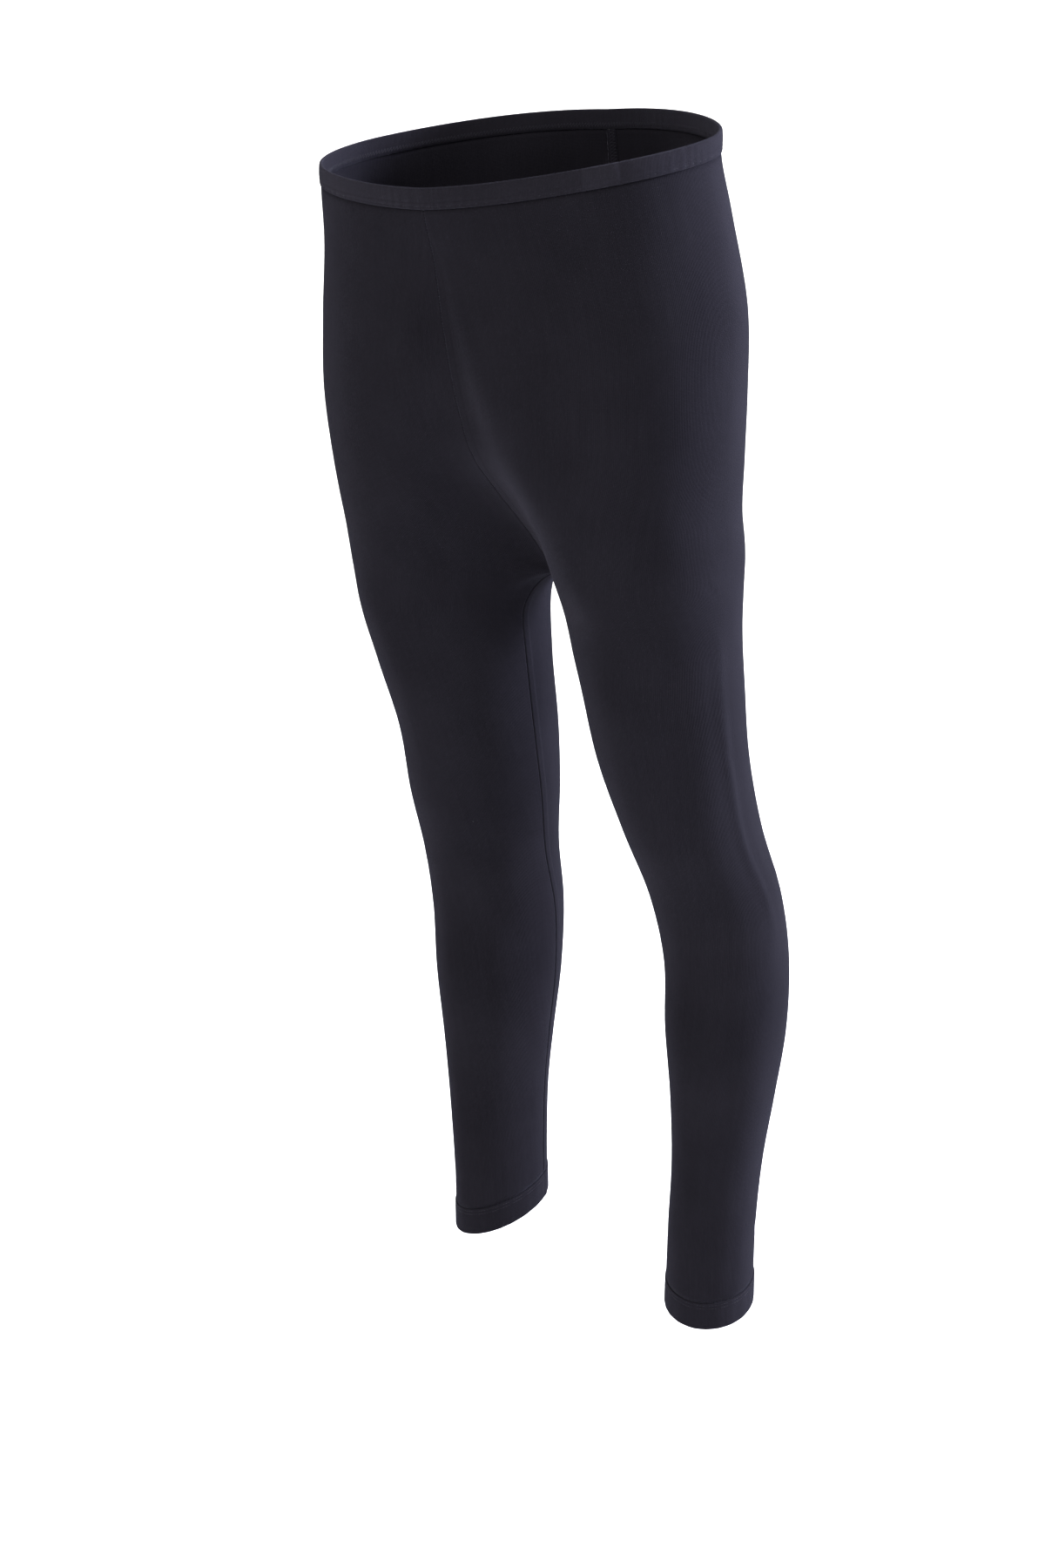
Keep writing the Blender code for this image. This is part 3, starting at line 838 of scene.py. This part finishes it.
def add_leg_panel(side):
    """One leg panel, wrapped round the outside of the leg from the front edge to the back edge."""
    allowances = [add_allowance(seam) for seam in seam_list() if seam.side == side]
    sheet = form_grid(panel_levels(HEMS[side]), panel_places, side)
    points = raised(sheet, relief(sheet, side))
    # The ribs run down the panel without a jog at the crotch, where its edges suddenly draw in.
    spacing = np.abs(np.gradient(sheet.levels[:, 0]))
    kernel = np.exp(-(((sheet.levels - sheet.levels.T) / CUT_SOFT) ** 2)) * spacing
    width = kernel @ sheet.whole / kernel.sum(axis=1, keepdims=True)
    aside = (sheet.across / sheet.whole - 0.5) * width
    mesh = grid_sheet(points, np.stack([aside, np.broadcast_to(sheet.levels, aside.shape)], axis=-1))
    handed(mesh, side)
    name = f"leg_panel_{side}"
    piece = finished(name, mesh_of(mesh, name), material_of("panel"), sizes().cloth_wall)
    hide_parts(f"leg_{side}")
    # Cut: a front and a back in one piece, 440 mm across the hips and 950 mm long.
    return piece


# --------------------------------------------------------------------------------------------------
# The waistband and hems.
# --------------------------------------------------------------------------------------------------

CASING_COLUMNS = 360      # faces round half of the waistband
HEM_COLUMNS = 250         # faces round a hem
# Rows down the outside of a turned edge, as shares of its height. They lie closer together near its stitches.
OUTER_ROWS = np.array([0.0, 0.03, 0.07, 0.10, 0.13, 0.16, 0.20, 0.25, 0.29,
                       0.32, 0.35, 0.39, 0.45, 0.55, 0.66, 0.78, 0.89, 1.0])
FOLD_STEPS = 9            # faces round a turned edge
INNER_ROWS = 6            # faces down the inside of a turned edge

EDGE_GROOVE = 0.8         # how deep the cloth sinks at its stitched edge, as a share of a stitch's groove
EDGE_GROOVE_WIDTH = 0.00060
STITCH_GROOVE_WIDTH = 0.00055

# The casing's gathers, by their spacings in millimetres, over a turn of the sine: the ripples themselves, how
# they drift closer and further apart, and how they swell and die down.
GATHER_STEP, GATHER_DRIFT, GATHER_SWELL = 1.27, 6.7, 15.1
GATHER_FADE = 0.75        # how much of them is gone at the casing's top edge
GATHER_INSIDE = 0.6       # how much of them shows inside
CASING_JOIN_AT = 0.008    # from the front centre to the casing's own join
CASING_JOIN_DEPTH, CASING_JOIN_WIDTH = 0.0005, 0.0006
OVERLAP_LIFT = 0.00045    # how far the elastic's overlapped ends lift the cloth
OVERLAP_STEP = 0.0015     # over which they do
OVERLAP_FOOT, OVERLAP_TAPER = 1.15, 0.3  # the overlap is a little wider at its foot
OVERLAP_FROM = (0.06, 0.30)  # shares of the casing's height between which it starts

HEM_WAVE, HEM_DRIFT = 1.9, 8.3  # the hem's puckers, by their spacings in millimetres
HEM_PUCKER = 0.5          # how deep they are beside the casing's
LUMP_AT, LUMP_WIDTH, LUMP_HEIGHT = 0.004, 0.003, 0.0006  # where the inseam's allowance is turned up inside

Profile = namedtuple("Profile", "levels offsets heights outer")


def folded_profile(stitched, folded, proud, wall):
    """A turned edge's profile, from the stitched edge down its outside, round the fold and up its inside.

    heights is the distance from the stitched edge, and outer is 1 outside, 0 inside.
    """
    radius = 0.5 * wall
    toward = math.copysign(1.0, folded - stitched)
    turn = folded - toward * radius
    outside = stitched + (turn - stitched) * OUTER_ROWS
    angles = np.linspace(0.0, math.pi, FOLD_STEPS + 1)[1:-1]
    inside = np.linspace(turn, stitched, INNER_ROWS + 1)
    middle = proud - radius
    levels = np.concatenate([outside, turn + toward * radius * np.sin(angles), inside])
    outer = np.concatenate([np.ones(len(outside)), 0.5 + 0.5 * np.cos(angles), np.zeros(len(inside))])
    offsets = np.concatenate([
        np.full(len(outside), proud), middle + radius * np.cos(angles), np.full(len(inside), middle - radius)
    ])
    return Profile(levels, offsets, np.abs(levels - stitched), outer)


def needle_rows():
    """How far the two rows of a coverstitch lie from the edge."""
    return sizes().needle_inset, sizes().needle_inset + sizes().needle_gap


def grooves(heights):
    """The sink of the cloth along the coverstitch, and along the edge that it holds."""
    groove = sizes().groove
    out = -EDGE_GROOVE * groove * np.exp(-((heights / EDGE_GROOVE_WIDTH) ** 2))
    for row in needle_rows():
        out = out - groove * np.exp(-(((heights - row) / STITCH_GROOVE_WIDTH) ** 2))
    return out


def casing_ring(level, offset):
    """A whole ring round the waist at a height, moved out by offset, and its outward normals."""
    path = section_path(level)
    places = np.linspace(0.0, path.run[-1], CASING_COLUMNS + 1)
    half = on_section(level, path, places)
    return ring_moved(np.concatenate([half, half[-2:0:-1] * (-1.0, 1.0, 1.0)]), offset)


def ring_moved(ring, offset):
    """A closed ring of points moved out in plan, and its outward normals."""
    along = np.roll(ring, -1, axis=0) - np.roll(ring, 1, axis=0)
    normals = np.column_stack([along[:, 1], -along[:, 0], np.zeros(len(ring))])
    normals /= np.linalg.norm(normals, axis=1, keepdims=True)
    return ring + normals * np.reshape(offset, (-1, 1)), normals


def gathers(distance):
    """The elastic's gathers round the waist: uneven small ripples, from -1 to 1."""
    d = distance / MM
    drift = 1.3 * np.sin(d / GATHER_DRIFT)
    return np.sin(d / GATHER_STEP + drift) * (0.55 + 0.45 * np.sin(d / GATHER_SWELL + 0.8))


def around_waist(level):
    """Distances round the waist ring, from the front centre towards the wearer's left, and its length."""
    ring, _ = casing_ring(level, 0.0)
    steps = np.linalg.norm(np.roll(ring, -1, axis=0) - ring, axis=1)
    return np.concatenate([[0.0], np.cumsum(steps)[:-1]]), steps.sum()


def turned_cut(distance, height, outer):
    """The cut places of one ring of a turned edge, laid flat: more than 0 outside, and less inside."""
    return np.column_stack([distance, np.full(len(distance), height * (2.0 * outer - 1.0))])


def add_casing():
    """The waistband: jersey turned over the elastic and coverstitched."""
    size = sizes()
    profile = folded_profile(BAND_LINE + SEAM_GAP / 2, WAIST, BAND_PROUD, BAND_WALL)
    distance, whole = around_waist(BAND_LINE)
    ripple = gathers(distance)
    join = np.exp(-(((distance - CASING_JOIN_AT) / CASING_JOIN_WIDTH) ** 2))
    loops, cut = [], []
    for level, offset, height, outer in zip(*profile):
        share = height / (WAIST - BAND_LINE)
        out = offset + outer * (size.crown * math.sin(math.pi * min(share, 1.0)) + grooves(height))
        seen = GATHER_INSIDE + (1.0 - GATHER_INSIDE) * outer
        out = out + size.pucker * ripple * (1.0 - GATHER_FADE * share) * seen
        # The elastic's ends overlap, and the casing's ends are joined just beside the front centre.
        half = OVERLAP_HALF * (OVERLAP_FOOT - OVERLAP_TAPER * share)
        lap = eased(half, half - OVERLAP_STEP, np.abs(distance - OVERLAP_AT)) * eased(*OVERLAP_FROM, share)
        out = out + outer * (OVERLAP_LIFT * lap - CASING_JOIN_DEPTH * join)
        loops.append(casing_ring(level, out)[0])
        cut.append(turned_cut(distance, height, outer))
    sheet = tube_sheet(loops, np.array(cut), whole)
    name = "waistband_casing"
    piece = finished(name, mesh_of(sheet, name), material_of("casing"))
    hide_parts("waistband")
    # Cut of what shows: a strip 800 mm round before it is stretched, and 16 mm high once turned.
    return piece


def hem_ring(side, level, offset):
    """A whole ring round an ankle at a height, moved out by offset, with its outward normals."""
    path = section_path(level)
    places = np.linspace(0.0, path.run[-1], HEM_COLUMNS, endpoint=False)
    ring, normals = ring_moved(on_section(level, path, places), offset)
    return leaned(ring, level, HEMS[side]), normals


def add_hem(side):
    """One turned-up hem, coverstitched near its upper edge."""
    hem = HEMS[side]
    profile = folded_profile(hem.bottom + HEM_HEIGHT - SEAM_GAP / 2, hem.bottom, HEM_PROUD, HEM_WALL)
    whole = section_path(hem.bottom).run[-1]
    distance = np.linspace(0.0, whole, HEM_COLUMNS, endpoint=False)
    ripple = np.sin(distance / MM / HEM_WAVE + np.sin(distance / MM / HEM_DRIFT))
    lump = LUMP_HEIGHT * np.exp(-(((whole - distance - LUMP_AT) / LUMP_WIDTH) ** 2))
    loops, cut = [], []
    for level, offset, height, outer in zip(*profile):
        out = offset + outer * (grooves(height) + lump) + HEM_PUCKER * sizes().pucker * ripple
        loops.append(hem_ring(side, level, out)[0])
        cut.append(turned_cut(distance, height, outer))
    sheet = tube_sheet(loops, np.array(cut), whole)
    if side == "right":
        bmesh.ops.scale(sheet, vec=(SIDES[side], 1.0, 1.0), verts=sheet.verts)
        bmesh.ops.recalc_face_normals(sheet, faces=sheet.faces)
    name = f"hem_turned_{side}"
    piece = finished(name, mesh_of(sheet, name), material_of("hem"))
    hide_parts(f"hem_{side}")
    # Cut of what shows: a strip 230 mm round and 25 mm high once turned up.
    return piece


# --------------------------------------------------------------------------------------------------
# Seams, allowances and stitches.
# --------------------------------------------------------------------------------------------------

SEAM_ROWS = 260           # points worked out along a seam
SEAM_STRIP = 0.0005       # to either side of a line, to find which way the cloth faces there
RISE_STOPS, INSEAM_STARTS = 0.001, 0.003  # above the crotch and below it
ALLOWANCE_WALL = 0.0009   # two layers of cloth, pressed flat
ALLOWANCE_COLUMNS = 6     # points across an allowance
ALLOWANCE_PAST = 0.0008   # how far an allowance reaches past its seam, under the other panel
RUFFLE_HEIGHT, RUFFLE_STEP = 0.00012, 1.7  # of its raw edge, and its spacing in millimetres over a turn
CLEAR = 0.0001            # between the panel, the allowance and its threads
NEEDLE_LINE = 0.0012      # from a seam to its needle thread inside
LADDER_REACH = 0.0006     # half the length of a thread across a seam
THREAD_SUNK = 0.75        # how deep a stitch lies in its groove or its seam

Seam = namedtuple("Seam", "name side edge top bottom")


def seam_list():
    """Every long seam: the two halves of the rise, and an inseam on each leg."""
    ends = {side: hem.bottom + HEM_HEIGHT for side, hem in HEMS.items()}
    return [
        Seam("rise_front", "left", "front", BAND_LINE, CROTCH + RISE_STOPS),
        Seam("rise_back", "left", "back", BAND_LINE, CROTCH + RISE_STOPS),
        Seam("inseam_left", "left", "back", CROTCH - INSEAM_STARTS, ends["left"]),
        Seam("inseam_right", "right", "back", CROTCH - INSEAM_STARTS, ends["right"]),
    ]


def seam_strip(seam, gaps):
    """A narrow grid of the form along a seam, its columns at distances from the seam over its panel."""
    levels = np.linspace(seam.top, seam.bottom, SEAM_ROWS)
    if seam.edge == "front":
        return form_grid(levels, lambda whole: np.asarray(gaps), seam.side)
    return form_grid(levels, lambda whole: whole - np.asarray(gaps)[::-1], seam.side)


def seam_line(seam, gap, out):
    """A line of points along a seam, at a gap from it over its panel, moved out, and the normals there."""
    strip = seam_strip(seam, (gap - SEAM_STRIP, gap, gap + SEAM_STRIP))
    points = strip.points[:, 1] + strip.normals[:, 1] * out
    return mirrored(points, seam.side), mirrored(strip.normals[:, 1], seam.side)


def mirrored(points, side):
    """Left-hand points or directions on the side that they belong to."""
    return points * (SIDES[side], 1.0, 1.0)


def add_allowance(seam):
    """A seam's allowance: both panels' edges, trimmed and overlocked together, folded flat inside."""
    size = sizes()
    gaps = np.concatenate([[-ALLOWANCE_PAST], np.linspace(0.0, size.allowance, ALLOWANCE_COLUMNS)])
    strip = seam_strip(seam, gaps)
    gap = strip.across if seam.edge == "front" else strip.whole - strip.across
    ruffle = RUFFLE_HEIGHT * np.sin(strip.levels / MM / RUFFLE_STEP) * eased(0.3, 1.0, gap / size.allowance)
    points = raised(strip, ruffle + rolled(np.abs(gap)) - (size.cloth_wall + CLEAR))
    cut = np.stack([strip.across, np.broadcast_to(strip.levels, strip.across.shape)], axis=-1)
    mesh = grid_sheet(points, cut)
    handed(mesh, seam.side)
    name = f"{seam.name}_allowance"
    return finished(name, mesh_of(mesh, name), material_of("panel"), ALLOWANCE_WALL)


def add_overlock(seam):
    """The overlocker's threads: a slanting thread across the allowance and a purl along its raw edge."""
    size = sizes()
    inner = -(size.cloth_wall + ALLOWANCE_WALL + CLEAR)
    near, up = seam_line(seam, NEEDLE_LINE, inner - 0.1 * size.seam_roll)
    far, _ = seam_line(seam, size.allowance + 2.0 * CLEAR, inner)
    edge, edge_up = seam_line(seam, size.allowance + CLEAR, inner + 0.5 * ALLOWANCE_WALL)
    bars = zigzag_bars(near, far, up, size.overlock_pitch)
    bars += running_bars(near, up, size.overlock_pitch)
    bars += running_bars(edge, edge_up, size.overlock_pitch, 0.95)
    name = f"{seam.name}_overlock"
    return laid_bars(name, bars, 1.1 * size.thread, 0.8 * size.thread, material_of("overlock"))


def add_ladder(seam):
    """The threads that show down in a stretched seam, from one rolled edge across to the other."""
    size = sizes()
    centre, up = seam_line(seam, 0.0, -THREAD_SUNK * size.seam_roll)
    at, normals = evenly(centre, up, size.ladder_pitch)
    across = np.cross(normals, np.gradient(at, axis=0))
    reach = LADDER_REACH * across / np.linalg.norm(across, axis=1, keepdims=True)
    bars = [Bar(*ends) for ends in zip(at - reach, at + reach, normals)]
    name = f"{seam.name}_ladder"
    return laid_bars(name, bars, 0.8 * size.thread, 0.7 * size.thread, material_of("ladder"))


def ring_rows(ring, level_of, out):
    """Closed lines of points at the two needle rows of a turned edge, and the normals there."""
    rows = []
    for height in needle_rows():
        points, normals = ring(level_of(height), out)
        rows.append((np.vstack([points, points[:1]]), np.vstack([normals, normals[:1]])))
    return rows


def add_coverstitch(name, ring, level_of, proud, wall):
    """A coverstitch: two rows of needle stitches outside and looper threads between them inside."""
    size = sizes()
    bars = []
    for points, normals in ring_rows(ring, level_of, proud - THREAD_SUNK * size.groove):
        bars += running_bars(points, normals, size.stitch_pitch)
    (first, up), (second, _) = ring_rows(ring, level_of, proud - wall)
    bars += zigzag_bars(first, second, up, size.stitch_pitch)
    return laid_bars(name, bars, size.thread, 0.75 * size.thread, material_of("coverstitch"))


def add_casing_coverstitch():
    """The coverstitch of the waistband, just above its stitched edge."""
    bottom = BAND_LINE + SEAM_GAP / 2

    def level_of(height):
        return bottom + height

    return add_coverstitch("waistband_stitch", casing_ring, level_of, BAND_PROUD, BAND_WALL)


def add_hem_coverstitch(side):
    """The coverstitch of a hem, just below its stitched edge."""
    top = HEMS[side].bottom + HEM_HEIGHT - SEAM_GAP / 2

    def level_of(height):
        return top - height

    def ring(level, out):
        return [mirrored(part, side) for part in hem_ring(side, level, out)]

    return add_coverstitch(f"hem_stitch_{side}", ring, level_of, HEM_PROUD, HEM_WALL)


# --------------------------------------------------------------------------------------------------
# The studio.
# --------------------------------------------------------------------------------------------------

FLOOR_LEVEL = -1.080      # the floor lies this far below the waist's centre
CAMERA_AT = (0.9584, -1.2686, -0.018)
CAMERA_DOWN = 16.26       # degrees
CAMERA_ROUND = 37.0       # degrees from the front towards the wearer's left
LENS_MM = 48.0
SENSOR_MM = 36.0
COVE_REACH = 6.0          # towards the camera, and to either side
COVE_BACK = 3.0           # from the garment back to where the floor starts to rise
COVE_RADIUS = 1.5         # of the curve from the floor to the wall
COVE_HEIGHT = 5.0         # of the wall's top above the floor
COVE_STEPS = 16           # faces round its curve
SKY_STRENGTH = 0.47       # the even light of a white room

# Each softbox: its place, the point that it is turned to, its size, its power in watts and its colour.
Lamp = namedtuple("Lamp", "name place aim width height power colour")
LAMPS = [
    Lamp("key softbox", (-0.2, -3.1, 1.6), (0.0, 0.0, -0.4), 1.6, 1.6, 70.0, "#fffaf2"),
    Lamp("fill softbox", (2.8, -1.6, 0.6), (0.0, 0.1, -0.5), 1.4, 2.0, 25.0, "#f6f8ff"),
    Lamp("left edge strip", (-1.6, 2.0, 0.5), (0.0, 0.1, -0.4), 0.5, 2.0, 30.0, "#e9edff"),
    Lamp("right edge strip", (1.9, 1.9, 1.1), (0.1, 0.1, -0.15), 0.9, 1.4, 132.0, "#e9edff"),
    Lamp("hip softbox", (0.85, 0.90, 0.45), (0.15, 0.05, -0.12), 0.3, 0.4, 46.0, "#e9edff"),
    Lamp("top softbox", (0.0, 0.2, 2.2), (0.0, 0.1, -0.4), 2.0, 2.0, 65.0, "#ffffff"),
    Lamp("background softbox", (-1.0, 2.0, 2.4), (-2.4, 3.4, -0.6), 2.4, 1.2, 160.0, "#ffffff"),
]


def add_cove():
    """A pale floor that sweeps up behind the garment."""
    profile = [(-COVE_REACH, FLOOR_LEVEL)]
    for angle in np.linspace(0.0, 0.5 * math.pi, COVE_STEPS + 1):
        rise = COVE_RADIUS * (1.0 - math.cos(angle))
        profile.append((COVE_BACK + COVE_RADIUS * math.sin(angle), FLOOR_LEVEL + rise))
    profile.append((COVE_BACK + COVE_RADIUS, FLOOR_LEVEL + COVE_HEIGHT))
    turn = math.radians(CAMERA_ROUND)
    across = np.array([math.cos(turn), math.sin(turn), 0.0])
    away = np.array([-math.sin(turn), math.cos(turn), 0.0])
    sheet = bmesh.new()
    points = [sheet.verts.new(away * y + np.array([0.0, 0.0, z]) - across * COVE_REACH) for y, z in profile]
    edges = [sheet.edges.new(pair) for pair in zip(points[:-1], points[1:])]
    grown = bmesh.ops.extrude_edge_only(sheet, edges=edges)["geom"]
    moved = [v for v in grown if isinstance(v, bmesh.types.BMVert)]
    bmesh.ops.translate(sheet, verts=moved, vec=across * 2.0 * COVE_REACH)
    bmesh.ops.recalc_face_normals(sheet, faces=sheet.faces)
    cove = bpy.data.objects.new("studio_cove", mesh_of(sheet, "studio_cove"))
    cove.data.materials.append(painted_floor())
    cove.data.shade_smooth()
    bpy.context.scene.collection.objects.link(cove)


def add_lamp(lamp):
    """One softbox, turned to its aim."""
    light = bpy.data.lights.new(lamp.name, "AREA")
    light.shape = "RECTANGLE"
    light.size, light.size_y = lamp.width, lamp.height
    light.energy = lamp.power
    light.color = linear(lamp.colour)
    holder = bpy.data.objects.new(lamp.name, light)
    holder.location = lamp.place
    look = Vector(np.subtract(lamp.aim, lamp.place))
    holder.rotation_euler = look.to_track_quat("-Z", "Y").to_euler()
    bpy.context.scene.collection.objects.link(holder)


def add_camera():
    """The camera, just below the waist and looking down at the knees."""
    lens = bpy.data.cameras.new("camera")
    lens.lens = LENS_MM
    lens.sensor_width = SENSOR_MM
    lens.sensor_fit = "AUTO"
    lens.dof.use_dof = False
    camera = bpy.data.objects.new("camera", lens)
    camera.location = CAMERA_AT
    camera.rotation_euler = (math.radians(90.0 - CAMERA_DOWN), 0.0, math.radians(CAMERA_ROUND))
    bpy.context.scene.collection.objects.link(camera)
    bpy.context.scene.camera = camera


def set_world():
    """Even pale light from all round, as in a white studio."""
    world = bpy.data.worlds.new("white studio")
    world.use_nodes = True
    sky = world.node_tree.nodes["Background"]
    sky.inputs["Color"].default_value = (1.0, 1.0, 1.0, 1.0)
    sky.inputs["Strength"].default_value = SKY_STRENGTH
    scene = bpy.context.scene
    scene.world = world
    scene.view_settings.view_transform = "Standard"
    scene.view_settings.look = "None"


# --------------------------------------------------------------------------------------------------
# The add-on.
# --------------------------------------------------------------------------------------------------


class LEGGINGS_OT_panels(bpy.types.Operator):
    """Add the two leg panels and their seam allowances"""

    bl_idname = "leggings.panels"
    bl_label = "Leg panels"

    def execute(self, context):
        for side in SIDES:
            add_leg_panel(side)
        return {"FINISHED"}


class LEGGINGS_OT_casing(bpy.types.Operator):
    """Add the waistband casing over its elastic"""

    bl_idname = "leggings.casing"
    bl_label = "Waistband casing"

    def execute(self, context):
        add_casing()
        return {"FINISHED"}


class LEGGINGS_OT_hems(bpy.types.Operator):
    """Add the two turned-up hems"""

    bl_idname = "leggings.hems"
    bl_label = "Hems"

    def execute(self, context):
        for side in SIDES:
            add_hem(side)
        return {"FINISHED"}


class LEGGINGS_OT_seams(bpy.types.Operator):
    """Add the overlocking of the allowances and the threads that show in the long seams"""

    bl_idname = "leggings.seams"
    bl_label = "Seams"

    def execute(self, context):
        for seam in seam_list():
            add_overlock(seam)
            add_ladder(seam)
        return {"FINISHED"}


class LEGGINGS_OT_coverstitch(bpy.types.Operator):
    """Add the coverstitching of the waistband and the hems"""

    bl_idname = "leggings.coverstitch"
    bl_label = "Coverstitching"

    def execute(self, context):
        add_casing_coverstitch()
        for side in SIDES:
            add_hem_coverstitch(side)
        return {"FINISHED"}


class LEGGINGS_OT_stage(bpy.types.Operator):
    """Add the studio: its cove, lamps, world and camera"""

    bl_idname = "leggings.stage"
    bl_label = "Studio"

    def execute(self, context):
        add_camera()
        set_world()
        add_cove()
        for lamp in LAMPS:
            add_lamp(lamp)
        return {"FINISHED"}


OPERATORS = (
    LEGGINGS_OT_stage,
    LEGGINGS_OT_panels,
    LEGGINGS_OT_casing,
    LEGGINGS_OT_hems,
    LEGGINGS_OT_seams,
    LEGGINGS_OT_coverstitch,
)


class LEGGINGS_PT_sidebar(bpy.types.Panel):
    """The garment's pieces, sizes and colours"""

    bl_idname = "LEGGINGS_PT_sidebar"
    bl_label = "Leggings"
    bl_space_type = "VIEW_3D"
    bl_region_type = "UI"
    bl_category = "Leggings"

    def draw(self, context):
        for operator in OPERATORS:
            self.layout.operator(operator.bl_idname)
        for key in SIZES:
            self.layout.prop(context.scene.leggings_sizes, key)
        for key in COLOURS:
            self.layout.prop(context.scene.leggings_colours, key)


CLASSES = (LEGGINGS_PG_sizes, LEGGINGS_PG_colours, *OPERATORS, LEGGINGS_PT_sidebar)


def register():
    """Make the add-on's classes and settings known to Blender."""
    for cls in CLASSES:
        bpy.utils.register_class(cls)
    bpy.types.Scene.leggings_sizes = PointerProperty(type=LEGGINGS_PG_sizes)
    bpy.types.Scene.leggings_colours = PointerProperty(type=LEGGINGS_PG_colours)


def unregister():
    """Take the add-on's classes and settings away again."""
    del bpy.types.Scene.leggings_sizes
    del bpy.types.Scene.leggings_colours
    for cls in reversed(CLASSES):
        bpy.utils.unregister_class(cls)


def main():
    """Build the garment and its studio."""
    register()
    bpy.ops.leggings.stage()
    bpy.ops.leggings.panels()
    bpy.ops.leggings.casing()
    bpy.ops.leggings.hems()
    bpy.ops.leggings.seams()
    bpy.ops.leggings.coverstitch()


if __name__ == "__main__":
    main()
